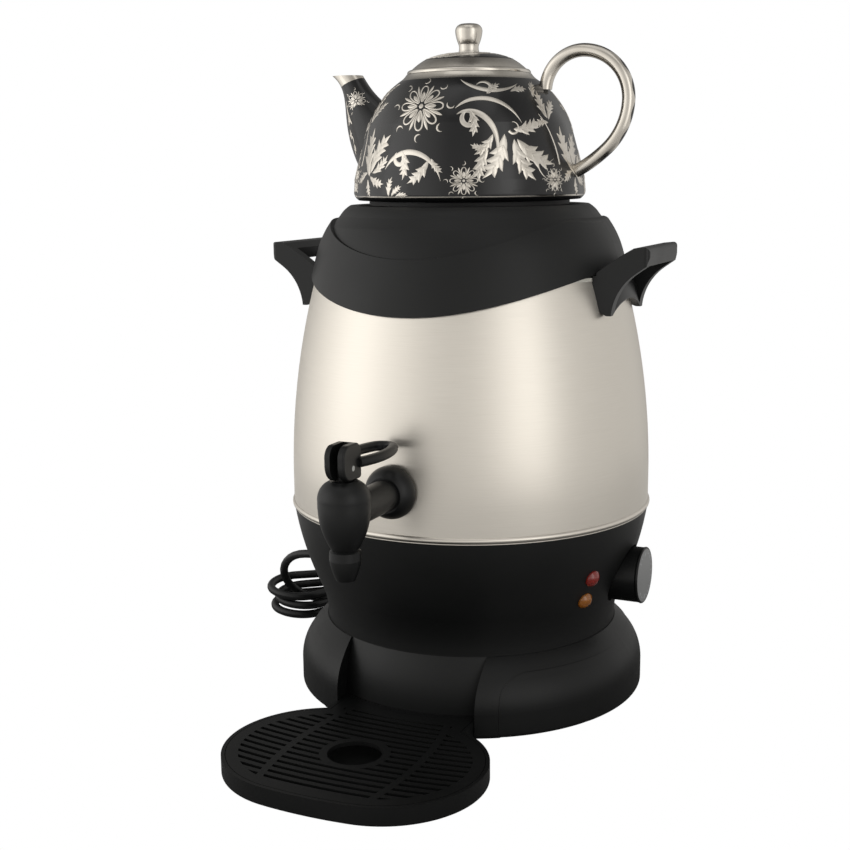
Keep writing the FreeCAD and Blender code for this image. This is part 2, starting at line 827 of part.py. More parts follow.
def urn_lid():
    """The black cap that lifts off the tank: dome, proud lower shell below a swept line, a swept lower
    edge, a seat groove on top, a chimney for the steam and a rib that presses the gasket."""
    above_edge = Part.makeCylinder(cap_edge_sweep, 300, V(0, -150, cap_edge_z + cap_edge_sweep), V(0, 1, 0))
    below_step = block(-150, 150, -150, 150, 200, 330).cut(
        Part.makeCylinder(cap_step_sweep, 300, V(0, -150, cap_step_z + cap_step_sweep), V(0, 1, 0)))
    form = union([cap_upper(0), cap_outer().common(below_step)])
    form = form.common(above_edge)
    inside = cap_upper(cap_wall).common(Part.makeCylinder(120, 80, V(0, 0, barrel_top + 4)))
    shell = form.cut(inside)
    shell = shell.cut(barrel_solid(cap_gap, 230, barrel_top))
    bore = Part.makeCylinder(barrel_r(barrel_top) + cap_gap, 4.5, V(0, 0, barrel_top - 0.2))
    shell = shell.cut(bore)
    gasket_top = barrel_top + gasket_height
    liner_edge = liner_radius()
    rim_edge = barrel_r(barrel_top) - 0.3
    rib = turned([(liner_edge + 0.4, gasket_top), (rim_edge, gasket_top), (rim_edge, gasket_top + 4.5),
                  (liner_edge - 2.6, gasket_top + 2.8), (liner_edge - 2.6, gasket_top + liner_wall),
                  (liner_edge + 0.4, gasket_top + liner_wall)])
    chimney_outer = steam_hole_radius + chimney_wall
    chimney = turned([(steam_hole_radius, gasket_top + liner_wall), (chimney_outer, gasket_top + liner_wall),
                      (chimney_outer, cap_top_z - 1), (steam_hole_radius, cap_top_z - 1)])
    shell = union([shell, rib, chimney])
    shell = shell.cut(Part.makeCylinder(steam_hole_radius, 100, V(0, 0, 240)))
    groove = Part.makeCylinder(seat_ring_radius + 0.2, 10, V(0, 0, cap_top_z - seat_ring_groove)).cut(
        Part.makeCylinder(seat_ring_radius - seat_ring_width - 0.2, 10,
                          V(0, 0, cap_top_z - seat_ring_groove)))
    return shell.cut(groove)


def liner_radius():
    """Outer radius of the cap's steel liner, inside the gasket."""
    return barrel_r(barrel_top) - 2 * rim_radius - 3.0


def lid_liner():
    """The steel liner that closes the cap's underside, flat under the gasket rib and round the chimney."""
    z = barrel_top + gasket_height
    outer = liner_radius()
    return turned([(steam_hole_radius, z), (outer, z), (outer, z + liner_wall),
                   (steam_hole_radius, z + liner_wall)])


def lid_gasket():
    """The silicone ring between the barrel's rim and the cap's rib."""
    centre = barrel_r(barrel_top) - rim_radius
    return turned([(centre - 2.4, barrel_top), (centre + 1.6, barrel_top),
                   (centre + 1.6, barrel_top + gasket_height),
                   (centre - 2.4, barrel_top + gasket_height)])


def seat_ring():
    """The soft ring let into the cap's top, on which the teapot stands."""
    bottom = cap_top_z - seat_ring_groove
    ring = Part.makeCylinder(seat_ring_radius, seat_ring_groove + seat_ring_proud, V(0, 0, bottom))
    ring = ring.cut(Part.makeCylinder(seat_ring_radius - seat_ring_width, 20, V(0, 0, bottom)))
    top = [e for e in ring.Edges if e.BoundBox.ZMin > pot_z() - 0.01]
    return ring.makeFillet(0.8, top)


def pot_z():
    """Height of the teapot's foot."""
    return cap_top_z + seat_ring_proud


def pot_outline(offset):
    """The pot's side from belly to shoulder, moved in by an offset."""
    z = pot_z()
    waist = (pot_waist_radius - offset * 0.96, z + pot_waist_z - offset * 0.27)
    shoulder = (pot_shoulder_radius - offset * 0.66, z + pot_shoulder_z - offset * 0.75)
    return [((67.9 - offset * 0.97, z + 26.5 - offset * 0.25), waist),
            ((56.4 - offset * 0.82, z + 57.5 - offset * 0.57), shoulder)]


def pot_form():
    """The pot's outside as a full solid: a squat round body from the foot to the flat of the mouth."""
    z = pot_z()
    belly = pot_belly_radius
    foot = pot_foot_radius
    outside = [(0, z), (foot, z), ((foot + 2.0, z + 1.8), (belly, z + 6.5)), (belly - 0.3, z + 12.5)]
    outside += pot_outline(0)
    outside += [((39.6, z + 74.0), (pot_mouth_radius, z + pot_mouth_z)), (0, z + pot_mouth_z)]
    return turned(outside)


def teapot_body():
    """The porcelain pot: hollow, with a foot ring, a round mouth and the opening into the spout."""
    z = pot_z()
    foot = pot_foot_radius
    belly = pot_belly_radius
    inner = pot_wall
    inside = [(0, z + 5.2), (foot - 7, z + 5.2), ((foot - 2.6, z + 7.4), (belly - inner, z + 14))]
    inside += pot_outline(inner)
    inside += [(pot_opening_radius, z + pot_shoulder_z + 0.2), (pot_opening_radius, z + pot_mouth_z + 5),
               (0, z + pot_mouth_z + 5)]
    foot_hollow = turned([(0, z - 1), (foot - 6, z - 1), (foot - 6, z), (foot - 7.5, z + pot_foot_recess),
                          (0, z + pot_foot_recess)])
    return pot_form().cut(turned(inside)).cut(spout_bore()).cut(foot_hollow)


def teapot_spout():
    """The spout to -X, cast apart and joined to the pot's side round its opening."""
    return spout_outside().cut(spout_bore()).cut(pot_form())


def spout_ring(x, z, lean, along, across):
    """One oval section of the spout, centred at (x, z) in the XZ plane, its normal leaning from +Z
    towards -X by lean degrees."""
    major = max(along, across)
    minor = min(along, across)
    ellipse = Part.Ellipse(V(0, 0, 0), major, minor).toShape()
    wire = Part.Wire([ellipse])
    if across > along:
        wire.rotate(V(0, 0, 0), V(0, 0, 1), 90)
    wire.rotate(V(0, 0, 0), V(0, 1, 0), -lean)
    wire.translate(V(x, 0, z))
    return wire


def spout_sections():
    """The spout's sections from root to tip: X, height over the foot, lean and the two half widths."""
    return ((-50.0, 19.0, 45.0, 19.0, 14.5), (-58.3, 35.0, 26.0, 22.4, 14.5),
            (-68.1, 51.0, 17.0, 16.9, 12.0),
            (-76.0, 64.9, 10.5, 10.2, 9.0), (-79.2, 71.0, 7.4, 8.9, 8.0), (-84.4, 77.8, 0.0, 10.2, 7.8))


def spout_outside():
    """The spout's outer form, lofted through its sections."""
    z = pot_z()
    rings = [spout_ring(x, z + h, lean, along, across) for x, h, lean, along, across in spout_sections()]
    return Part.makeLoft(rings, True, False)


def spout_bore():
    """The spout's hollow: the same sections less the wall, with a thinner lip at the tip."""
    z = pot_z()
    sections = spout_sections()
    rings = [spout_ring(x, z + h, lean, along - spout_wall, across - spout_wall)
             for x, h, lean, along, across in sections[:-1]]
    x, h, lean, along, across = sections[-1]
    rings.append(spout_ring(x, z + h + 0.5, lean, along - spout_lip, across - spout_lip))
    return Part.makeLoft(rings, True, False)


def teapot_handle():
    """The ring handle to +X: an oval bar along arcs in the XZ plane, its ends joined to the pot's side."""
    z = pot_z()
    top = (73.0, z + 87.0)
    right = (101.6, z + 57.0)
    down = tangent_arcs(top, 0.0, [right, (88.5, z + 29.5), (62.0, z + 13.0)])
    up = tangent_arcs(top, 180.0, [(50.0, z + 65.0)])
    edges = [arc(V(50.0, 0, z + 65.0), V(up[0][0][0], 0, up[0][0][1]), V(top[0], 0, top[1]))]
    here = top
    for via, end in down:
        edges.append(arc(V(here[0], 0, here[1]), V(via[0], 0, via[1]), V(end[0], 0, end[1])))
        here = end
    path = Part.Wire(edges)
    start_way = path.Edges[0].tangentAt(path.Edges[0].FirstParameter)
    start = path.Edges[0].valueAt(path.Edges[0].FirstParameter)
    section = Part.Wire([Part.Ellipse(V(0, 0, 0), pot_handle_y / 2, pot_handle_thick / 2).toShape()])
    section.rotate(V(0, 0, 0), V(0, 0, 1), 90)
    turn = degrees(atan2(start_way.x, start_way.z))
    section.rotate(V(0, 0, 0), V(0, 1, 0), turn)
    section.translate(start)
    return path.makePipeShell([section], True, False).cut(pot_form())


def teapot_lid():
    """The pot's lid: a low dome with a step, a turned button and a plug that hangs in the mouth."""
    z = pot_z() + pot_mouth_z
    rim = pot_mouth_radius - 0.6
    gap = 0.3
    outside = [(0, z + gap), (rim, z + gap), ((rim, z + 1.4), (rim - 2.2, z + 2.6)),
               ((32.6, z + 5.4), (27.5, z + 8.8)), ((19.0, z + 11.6), (6.6, z + 13.2)),
               ((6.0, z + 15.6), (6.3, z + 18.0)), ((7.6, z + 21.6), (8.3, z + 25.4)),
               ((7.2, z + 28.9), (3.8, z + 30.3)), (0, z + 30.3)]
    form = turned(outside)
    plug = pot_opening_radius - pot_lid_fit
    ring = turned([(plug - pot_lid_wall, z - pot_lid_plug_depth), (plug, z - pot_lid_plug_depth),
                   (plug, z + gap),
                   (plug - pot_lid_wall, z + gap)])
    hollow = turned([(0, z - 1), (plug - pot_lid_wall, z - 1), (plug - pot_lid_wall, z + 2.5),
                     ((19, z + 7.6), (7, z + 9.0)), (0, z + 9.0)])
    vent = rod(1.5, V(-20, 0, z - 1), V(-20, 0, z + 30))
    return union([form.cut(hollow), ring]).cut(vent)


def barrel_front_y():
    """The barrel's outer face at the tap."""
    return -barrel_r(tap_z)


def tap_body():
    """The moulded tap: threaded tail, bell flange, shank, cup, collar and outlet, bored through."""
    face = barrel_front_y() - gasket_thickness
    flange = turned([(0, 0), (tap_flange_radius, 0), (tap_flange_radius, 1.6),
                     ((tap_flange_radius - 1.6, 6.2), (tap_shank_radius + 1.2, 9.6)), (0, 9.6)])
    flange = aimed(flange, V(0, face, tap_z), V(0, -1, 0))
    shank = rod(tap_shank_radius, V(0, face, tap_z), V(0, tap_y, tap_z))
    tail = rod(tap_thread_radius, V(0, face + tap_thread_length, tap_z), V(0, face, tap_z))
    cup = turned([(0, tap_seam_z), (tap_cup_radius, tap_seam_z),
                  ((tap_cup_radius - 1.6, 143.0), (tap_waist_radius, tap_waist_z)),
                  (tap_collar_radius, tap_waist_z - 0.8), (tap_collar_radius + 0.2, tap_waist_z - 5.6),
                  ((7.4, 119.5), (tap_outlet_radius, tap_outlet_z)), (0, tap_outlet_z)])
    cup.translate(V(0, tap_y, 0))
    body = union([cup, shank, flange, tail])
    body = body.cut(Part.makeCylinder(tap_cup_radius + 0.4, 20, V(0, tap_y, tap_seam_z)))
    inner = tap_cup_radius - tap_wall
    well = turned([(0, 134.5), (6.9, 134.5), ((inner - 1.6, 141.0), (inner, 148.5)), (inner, tap_seam_z + 5),
                   (0, tap_seam_z + 5)])
    well.translate(V(0, tap_y, 0))
    drop = Part.makeCylinder(tap_outlet_radius - 1.4, 30, V(0, tap_y, tap_outlet_z - 1))
    bore = rod(tap_bore_radius, V(0, face + tap_thread_length + 1, tap_z), V(0, tap_y + 3, tap_z - 2.2))
    return body.cut(well).cut(drop).cut(bore)


def tap_bonnet():
    """The screwed cap of the tap, a dome with the stem's hole in its top."""
    radius = tap_cup_radius + 0.1
    base = tap_seam_z
    outside = [(stem_radius + stem_fit, base + 0.0), (radius, base), (radius, base + 4.0),
               ((radius - 1.7, base + 10.8), (bonnet_top_radius, bonnet_top_z - 0.4)),
               (bonnet_top_radius - 0.6, bonnet_top_z), (stem_radius + stem_fit, bonnet_top_z)]
    inner = radius - tap_wall
    hollow = turned([(0, base - 1), (inner, base - 1), (inner, base + 4),
                     ((inner - 1.6, base + 8.6), (6.0, base + 11.6)),
                     (0, base + 11.6)])
    skirt = turned([(inner - 1.6, base - 5.0), (inner - 0.15, base - 5.0), (inner - 0.15, base),
                    (inner + 0.6, base), (inner + 0.6, base + 3.0), (inner - 1.6, base + 3.0)])
    dome = turned(outside).cut(hollow)
    whole = union([dome, skirt])
    whole.translate(V(0, tap_y, 0))
    return whole


def tap_gaskets():
    """Two washers that seal the tap's tail, one outside and one inside the barrel."""
    outside = rod(gasket_radius, V(0, barrel_front_y() - gasket_thickness, tap_z),
                  V(0, barrel_front_y() + 3, tap_z))
    outside = outside.cut(barrel_solid(0, 125, 200))
    inner_face = barrel_front_y() + barrel_wall
    inside = rod(gasket_radius, V(0, inner_face - 1, tap_z),
                 V(0, inner_face + gasket_thickness + 0.6, tap_z))
    inside = inside.common(barrel_solid(-barrel_wall, 125, 200))
    bore = rod(tap_thread_radius, V(0, -130, tap_z), V(0, -80, tap_z))
    return Part.makeCompound([outside.cut(bore).Solids[0], inside.cut(bore).Solids[0]])


def tap_nut():
    """The hexagon nut on the tap's tail, inside the tank."""
    start = barrel_front_y() + barrel_wall + gasket_thickness + 0.6
    nut = hexagon(tap_nut_across, V(0, start, tap_z), V(0, tap_nut_height, 0))
    return nut.cut(rod(tap_thread_radius, V(0, start - 1, tap_z), V(0, start + tap_nut_height + 1, tap_z)))


def pivot_z():
    """Height of the lever's pin with the tap shut."""
    return bonnet_top_z + pivot_height


def tap_stem():
    """The lifting stem: a collar for the spring below, a flat tongue with the pin's hole above."""
    seat_top = 138.2
    shaft = rod(stem_radius, V(0, tap_y, seat_top), V(0, tap_y, bonnet_top_z + 0.15))
    collar = rod(5.6, V(0, tap_y, seat_top), V(0, tap_y, seat_top + 1.6))
    half = tongue_width / 2
    tongue = block(-half, half, tap_y - tongue_length / 2, tap_y + tongue_length / 2, bonnet_top_z + 0.15,
                   pivot_z())
    head = rod(tongue_length / 2, V(-half, tap_y, pivot_z()), V(half, tap_y, pivot_z()))
    stem = union([shaft, collar, tongue, head])
    return stem.cut(rod(pivot_pin_radius + pivot_fit, V(-9, tap_y, pivot_z()), V(9, tap_y, pivot_z())))


def tap_seat_cup():
    """The silicone cup on the stem's foot that closes the outlet."""
    cup = turned([(0, 134.8), (5.0, 134.8), (seat_cup_radius - 0.3, 136.4), (seat_cup_radius - 0.3, 138.2),
                  (0, 138.2)])
    cup.translate(V(0, tap_y, 0))
    return cup


def tap_spring():
    """The closing spring round the stem, between its collar and the bonnet."""
    bottom = 138.2 + 1.6 + spring_wire
    top = tap_seam_z + 11.6 - spring_wire
    height = top - bottom
    helix = Part.makeHelix(height / spring_turns, height, spring_radius)
    section = Part.Wire([Part.makeCircle(spring_wire, V(spring_radius, 0, 0), V(0, 1, 0))])
    coil = Part.Wire(helix.Edges).makePipeShell([section], True, True)
    coil.translate(V(0, tap_y, bottom))
    return coil


def cam_radius(swing):
    """Distance from the pin to the lever's rubbing face after a swing in degrees, clear of the bonnet."""
    return pivot_height - lever_clear + stem_travel * swing / 90.0


def tap_lever():
    """The lever: two cheeks with a cam outline either side of the stem's tongue, and a ring to lift."""
    y0, z0 = tap_y, pivot_z()
    rate = stem_travel / radians(90.0)

    def cam(swing):
        a = radians(swing)
        h = cam_radius(swing)
        return y0 - h * sin(a) - rate * cos(a), z0 - h * cos(a) + rate * sin(a)

    front = cam_radius(90.0)
    points = [(y0 + lever_back - 2.0, z0 - cam_radius(0)), cam(0), (cam(22.5), cam(45)),
              (cam(67.5), cam(90)),
              (y0 - front, z0 + lever_top - 6.5),
              ((y0 - front + 1.9, z0 + lever_top - 1.9), (y0 - front + 6.5, z0 + lever_top)),
              (y0 + lever_back - 5.0, z0 + lever_top),
              ((y0 + lever_back - 1.5, z0 + lever_top - 1.5), (y0 + lever_back, z0 + lever_top - 5)),
              (y0 + lever_back, z0 - cam_radius(0) + 2.0),
              ((y0 + lever_back - 0.6, z0 - cam_radius(0) + 0.6),
               (y0 + lever_back - 2.0, z0 - cam_radius(0)))]
    half = lever_width / 2
    head = prism(points, lambda u, v: V(-half, u, v), V(lever_width, 0, 0))
    rims = [e for e in head.Edges if e.BoundBox.XLength < 0.01]
    head = head.makeFillet(1.1, rims)
    far = barrel_front_y() - loop_far_gap
    near = y0 + 1.5
    half_length = (far - near) / 2
    loop = oval_plate(half_length, loop_half_width, loop_end_radius, loop_bar)
    loop = loop.cut(oval_plate(half_length - loop_bar, loop_half_width - loop_bar,
                               loop_end_radius - loop_bar, loop_bar))
    loop = loop.makeFillet(loop_bar * 0.42, [e for e in loop.Edges if e.BoundBox.ZLength < 0.01])
    loop.translate(V(0, (near + far) / 2, loop_z - loop_bar / 2))
    loop = loop.cut(block(-30, 30, y0 - 20, y0 + lever_back - 3.5, 150, 200))
    lever = union([head, loop])
    slot = lever_slot / 2
    lever = lever.cut(block(-slot, slot, y0 - 30, y0 + tongue_length / 2 + 1.2, z0 - 20, z0 + 30))
    return lever.cut(rod(pivot_pin_radius, V(-half - 1, y0, z0), V(half + 1, y0, z0)))


def oval_plate(half_length, half_width, end_radius, height):
    """A flat oval plate of four tangent arcs, long along Y, standing on the XY plane."""
    reach = half_length - end_radius
    side_radius = (half_width ** 2 + reach ** 2 - end_radius ** 2) / (2 * (half_width - end_radius))
    lean = atan2(reach, side_radius - half_width)
    x = end_radius * cos(lean)
    y = reach + end_radius * sin(lean)
    points = [(x, y), ((0, half_length), (-x, y)), ((-half_width, 0), (-x, -y)),
              ((0, -half_length), (x, -y)),
              ((half_width, 0), (x, y))]
    return prism(points, flat_place(0), V(0, 0, height))


def lever_pin():
    """The steel pin pressed through the lever's cheeks, turning in the stem's tongue."""
    half = lever_width / 2
    return rod(pivot_pin_radius, V(-half, tap_y, pivot_z()), V(half, tap_y, pivot_z()))


def tray_back_y():
    """The tray's rear edge on the axis, just clear of the hollow's wall."""
    return -recess_bottom_radius - tray_gap


def tray_outline(inset):
    """The tray's plan moved in by an inset: a shallow front arc, two side arcs that meet it smoothly,
    and a straight tail that fits the base's hollow."""
    side_x = tray_half_width - tray_side_radius
    depth = tray_side_y - tray_front_y
    front_radius = (side_x ** 2 + depth ** 2 - tray_side_radius ** 2) / (2 * (depth - tray_side_radius))
    front_centre = tray_front_y + front_radius
    lean = atan2(front_centre - tray_side_y, side_x)
    front = front_radius - inset
    side = tray_side_radius - inset
    tail = recess_half_width - tray_gap - inset
    join = (front * cos(lean), front_centre - front * sin(lean))
    rise = sqrt(side ** 2 - (tail - side_x) ** 2)
    back = tray_back_y() - inset + tray_tail_length
    return [(-join[0], join[1]), ((0, front_centre - front), join),
            ((side_x + side, tray_side_y), (tail, tray_side_y + rise)), (tail, back), (-tail, back),
            (-tail, tray_side_y + rise), ((-side_x - side, tray_side_y), (-join[0], join[1]))]


def flat_place(z):
    """Places a plan outline at a height."""
    return lambda u, v: V(u, v, z)


def tray_rear_cutter(extra):
    """All that lies behind the hollow's wall, with a clearance."""
    return Part.makeCylinder(recess_bottom_radius + tray_gap + extra, 60, V(0, 0, -20))


def drip_tray():
    """The tray: a shallow open dish with a tongue that slides into the base under the hollow."""
    top = tray_bottom_z + tray_height
    form = prism(tray_outline(0), flat_place(tray_bottom_z), V(0, 0, tray_height))
    form = form.makeFillet(1.2, [e for e in form.Edges if e.BoundBox.ZMax < tray_bottom_z + 0.01
                                 and e.BoundBox.YMax < tray_back_y() - 4])
    form = form.cut(tray_rear_cutter(0))
    floor = tray_bottom_z + tray_floor
    dish = prism(tray_outline(tray_wall), flat_place(floor), V(0, 0, tray_height))
    dish = dish.cut(tray_rear_cutter(tray_wall))
    ledge_z = top - grille_thickness
    ledge = prism(tray_outline(tray_wall), flat_place(floor), V(0, 0, ledge_z - floor)).cut(
        prism(tray_outline(tray_wall + grille_rim), flat_place(floor - 1),
              V(0, 0, ledge_z - floor + 2))).cut(
        tray_rear_cutter(tray_wall))
    ledge = ledge.common(block(-200, 200, -400, 0, ledge_z - 2.0, ledge_z))
    half = recess_half_width - tray_gap - tongue_gap - 1.0
    tongue = block(-half, half, tray_back_y() - 4, tongue_back_y, tongue_bottom_z, top - 1.2)
    tongue_core = block(-half + 2.2, half - 2.2, tray_back_y() + 1.2, tongue_back_y - 2.2,
                        tongue_bottom_z + 2, top + 1)
    tongue = tongue.cut(tongue_core)
    body = form.cut(dish)
    tongue = tongue.cut(dish)
    return union([body, ledge, tongue])


def drip_grille():
    """The grille let flush into the tray: bowed slots between two bowed ribs, and a finger hole."""
    top = tray_bottom_z + tray_height
    bottom = top - grille_thickness
    inset = tray_wall + grille_gap
    plate = prism(tray_outline(inset), flat_place(bottom), V(0, 0, grille_thickness))
    plate = plate.cut(tray_rear_cutter(inset))
    slots = []
    inner = prism(tray_outline(slot_margin), flat_place(bottom - 1), V(0, 0, grille_thickness + 2))
    inner = inner.cut(tray_rear_cutter(inset + 11.0))
    first = tray_front_y + slot_first
    count = int((tray_back_y() - 8.0 - first) / slot_pitch) + 1
    for k in range(count):
        y = first + k * slot_pitch
        centre = V(0, y + slot_bow, bottom - 1)
        band = Part.makeCylinder(slot_bow + slot_width / 2, grille_thickness + 2, centre).cut(
            Part.makeCylinder(slot_bow - slot_width / 2, grille_thickness + 2, centre))
        slots.append(band.common(block(-90, 90, y - 5, y + 25, bottom - 1, top + 1)))
    bands = Part.makeCompound(slots).common(inner)
    keep = [Part.makeCylinder(grille_hole_radius + grille_hole_ring, 20, V(0, grille_hole_y, bottom - 5))]
    for side in (-1, 1):
        centre = V(side * (rib_half_gap - rib_bow), grille_hole_y, bottom - 5)
        keep.append(Part.makeCylinder(rib_bow + rib_width / 2, 20, centre).cut(
            Part.makeCylinder(rib_bow - rib_width / 2, 20, centre)))
    for piece in keep:
        bands = bands.cut(piece)
    plate = plate.cut(bands)
    return plate.cut(Part.makeCylinder(grille_hole_radius, 20, V(0, grille_hole_y, bottom - 5)))


def gland_axis():
    """The point on the bowl and the outward way where the cord comes out."""
    place, normal = housing_point(gland_angle, gland_z)
    return place, V(cos(radians(gland_angle)), sin(radians(gland_angle)), 0)


def cord_gland():
    """The rubber strain relief: a tapered, ribbed sleeve with a flange outside and a groove in the wall."""
    place, way = gland_axis()
    inner = gland_depth
    base = place - way * inner
    body = turned([(0, 0), (gland_root_radius + 1.6, 0), (gland_root_radius + 1.6, 4.0),
                   (gland_root_radius, 4.4),
                   (gland_root_radius, inner - 1.8), (gland_flange_radius, inner - 1.8),
                   (gland_flange_radius, inner + 1.2 + gland_flange),
                   (gland_root_radius, inner + 2.4 + gland_flange),
                   (gland_tip_radius, inner + gland_length), (0, inner + gland_length)])
    for k in range(4):
        z = inner + gland_flange + 5.0 + k * 3.6
        cutter = turned([(cord_radius + 0.7, z), (gland_root_radius + 2, z),
                         (gland_root_radius + 2, z + 1.3),
                         (cord_radius + 0.7, z + 1.3)])
        body = body.cut(cutter.cut(Part.makeBox(4, 30, 400, V(-2, -15, -10))))
    body = body.cut(Part.makeCylinder(cord_radius, inner, V(0, 0, -0.01)))
    wall = housing_solid(0).cut(housing_hollow()).cut(rod(gland_root_radius, base, base + way * 30))
    return aimed(body, base, way).cut(wall)


def hank_point(u, v, z):
    """A point in the hank's own frame: along, across, height."""
    yaw = radians(hank_yaw)
    return V(hank_centre[0] + u * cos(yaw) - v * sin(yaw), hank_centre[1] + u * sin(yaw) + v * cos(yaw), z)


def hank_way(u, v, rise):
    """A direction in the hank's own frame."""
    yaw = radians(hank_yaw)
    return V(u * cos(yaw) - v * sin(yaw), u * sin(yaw) + v * cos(yaw), rise).normalize()


def biarc(p0, t0, p1, t1):
    """Two arcs from p0 to p1 with the given end directions: the inner control points lie the same
    distance d along them and 2 d apart, and the arcs meet halfway between."""
    gap = p1 - p0
    both = t0 + t1
    a = 2.0 * (1.0 - t0.dot(t1))
    b = 2.0 * gap.dot(both)
    c = -gap.dot(gap)
    d = (-b + sqrt(b * b - 4 * a * c)) / (2 * a) if abs(a) > 1e-9 else -c / b
    q0 = p0 + t0 * d
    q1 = p1 - t1 * d
    joint = (q0 + q1) * 0.5
    return [corner_arc(p0, q0, joint), corner_arc(joint, q1, p1)]


def corner_arc(start, corner, end):
    """The arc that leaves start towards corner and reaches end from corner, both equally far."""
    chord = (end - start).Length
    side = (corner - start).Length
    middle = (start + end) * 0.5
    rise = (corner - middle).Length
    if rise < 1e-4:
        return Part.LineSegment(start, end).toShape()
    half = chord / 2
    radius = half * side / rise
    sag = radius - sqrt(max(0.0, radius ** 2 - half ** 2))
    return arc(start, middle + (corner - middle) * (sag / rise), end)


def hank_quarters():
    """The hank's points and directions at each quarter turn. The waist is drawn in, and each loop
    climbs one step round its left end. The loops shift a little, as loose turns do."""
    quarters = []
    for k in range(hank_loops):
        z = hank_floor + k * hank_step
        slide = (0.0, 2.5, -2.0)[k % 3]
        lean = (0.0, -2.0, 2.0)[k % 3]
        if k == 0:
            quarters.append((hank_point(0, hank_waist, z), hank_way(1, 0, 0)))
        quarters.append((hank_point(hank_half_length + slide * 0.5, lean * 0.5, z), hank_way(0, -1, 0)))
        quarters.append((hank_point(0, -hank_waist, z), hank_way(-1, 0, 0)))
        quarters.append((hank_point(-hank_half_length + slide, lean, z + hank_step * 0.5),
                         hank_way(0, 1, 0.08)))
        quarters.append((hank_point(0, hank_waist, z + hank_step), hank_way(1, 0, 0)))
    return quarters


def cord_hank():
    """The bundled length of the cord, one unbroken tube round three loops with a drawn-in waist."""
    quarters = hank_quarters()
    edges = []
    first, way = quarters[0]
    lead = 2 * cord_radius
    edges.append(Part.LineSegment(first - way * lead, first).toShape())
    for (p0, t0), (p1, t1) in zip(quarters, quarters[1:]):
        edges.extend(biarc(p0, t0, p1, t1))
    last, way_out = quarters[-1]
    edges.append(Part.LineSegment(last, last + way_out * lead).toShape())
    path = Part.Wire(edges)
    section = Part.Wire([Part.makeCircle(cord_radius, first - way * lead, way)])
    tube_solid = path.makePipeShell([section], True, False)
    report_hank(path, tube_solid)
    return tube_solid


def report_hank(path, solid):
    """Prints the hank's length, its tightest arc and the least gap between its turns."""
    points = []
    lengths = []
    total = 0.0
    tightest = 1e9
    for edge in path.Edges:
        count = max(3, int(edge.Length / 2.5))
        for k in range(count):
            at = edge.FirstParameter + (edge.LastParameter - edge.FirstParameter) * k / count
            points.append(edge.valueAt(at))
            lengths.append(total + edge.Length * k / count)
        total += edge.Length
        if edge.Curve.TypeId == "Part::GeomCircle":
            tightest = min(tightest, edge.Curve.Radius)
    least = 1e9
    for i in range(len(points)):
        for j in range(i + 1, len(points)):
            if lengths[j] - lengths[i] > 40:
                least = min(least, points[i].distanceToPoint(points[j]))
    gap = least - 2 * cord_radius
    print(f"hank: {total:.0f} mm long, tightest arc {tightest:.1f} mm, least gap {gap:.2f} mm,"
          f" volume ratio {solid.Volume / (total * pi * cord_radius ** 2):.3f}")


def run_path(points):
    """Straight runs joined by tangent arcs, each arc as large as its two runs allow."""
    edges = []
    here = points[0]
    radii = []
    for before, corner, after in zip(points, points[1:], points[2:]):
        into = (corner - before)
        out = (after - corner)
        reach = 0.45 * min(into.Length, out.Length)
        turn = acos(max(-1.0, min(1.0, into.normalize().dot(out.normalize()))))
        radius = reach / tan(turn / 2)
        radii.append(radius)
        start = corner - into * reach
        end = corner + out * reach
        bisector = (out - into).normalize()
        to_centre = radius / cos(turn / 2)
        via = corner + bisector * (to_centre - radius)
        edges.append(Part.LineSegment(here, start).toShape())
        edges.append(arc(start, via, end))
        here = end
    edges.append(Part.LineSegment(here, points[-1]).toShape())
    return Part.Wire(edges), radii


def cord_tube(name, points):
    """A round tube along a route of runs and arcs."""
    path, radii = run_path(points)
    way = (points[1] - points[0]).normalize()
    section = Part.Wire([Part.makeCircle(cord_radius, points[0], way)])
    solid = path.makePipeShell([section], True, False)
    print(f"{name}: {path.Length:.0f} mm long, radii " + ", ".join(f"{r:.0f}" for r in radii)
          + f", volume ratio {solid.Volume / (path.Length * pi * cord_radius ** 2):.3f}")
    return solid


def cord_lead_points():
    """The cord's route from the gland's tip down to the counter and into the hank."""
    place, way = gland_axis()
    tip = place + way * gland_length
    first, hank_in = hank_quarters()[0]
    start = first - hank_in * (2 * cord_radius)
    inside = hank_point(-39.7, hank_waist, hank_floor)
    return [tip, tip + way * 22.0, V(-158.4, 37.9, 54.3), V(-174.0, 47.1, 38.7), V(-174.8, 61.0, 18.7),
            inside, start]


def cord_tail_points():
    """The cord's route from the top of the hank to the plug behind the urn."""
    last, hank_out = hank_quarters()[-1]
    start = last + hank_out * (2 * cord_radius)
    top = start.z
    return [start, start + hank_out * 20.0, V(-97.0, 163.5, top + 0.2), V(-70.0, 181.5, top - 0.6),
            V(-45.0, 188.0, plug_z()), plug_back()]


def plug_z():
    """Height of the plug's axis as it lies on the counter."""
    return plug_radius + 0.05


def plug_back():
    """The point where the cord enters the plug."""
    return V(-20.0, 188.0, plug_z())


def plug_body():
    """The moulded plug, lying on its side with a tapered tail towards the cord."""
    form = turned([(0, 0), (4.6, 0), ((5.6, 8.0), (10.5, 16.0)), ((14.8, 20.0), (plug_radius, 27.0)),
                   (plug_radius, plug_length - 1.5), ((plug_radius - 0.4, plug_length - 0.4),
                                                      (plug_radius - 1.5, plug_length)), (0, plug_length)])
    for side in (-1, 1):
        form = form.cut(rod(plug_pin_radius, V(0, side * plug_pin_pitch / 2, plug_length - 8),
                            V(0, side * plug_pin_pitch / 2, plug_length + 1)))
        form = form.cut(block(-3.0, 3.0, side * plug_radius - 2.2, side * plug_radius + 2.2, 26,
                              plug_length + 1))
    return aimed(form, plug_back(), V(1, 0, 0))


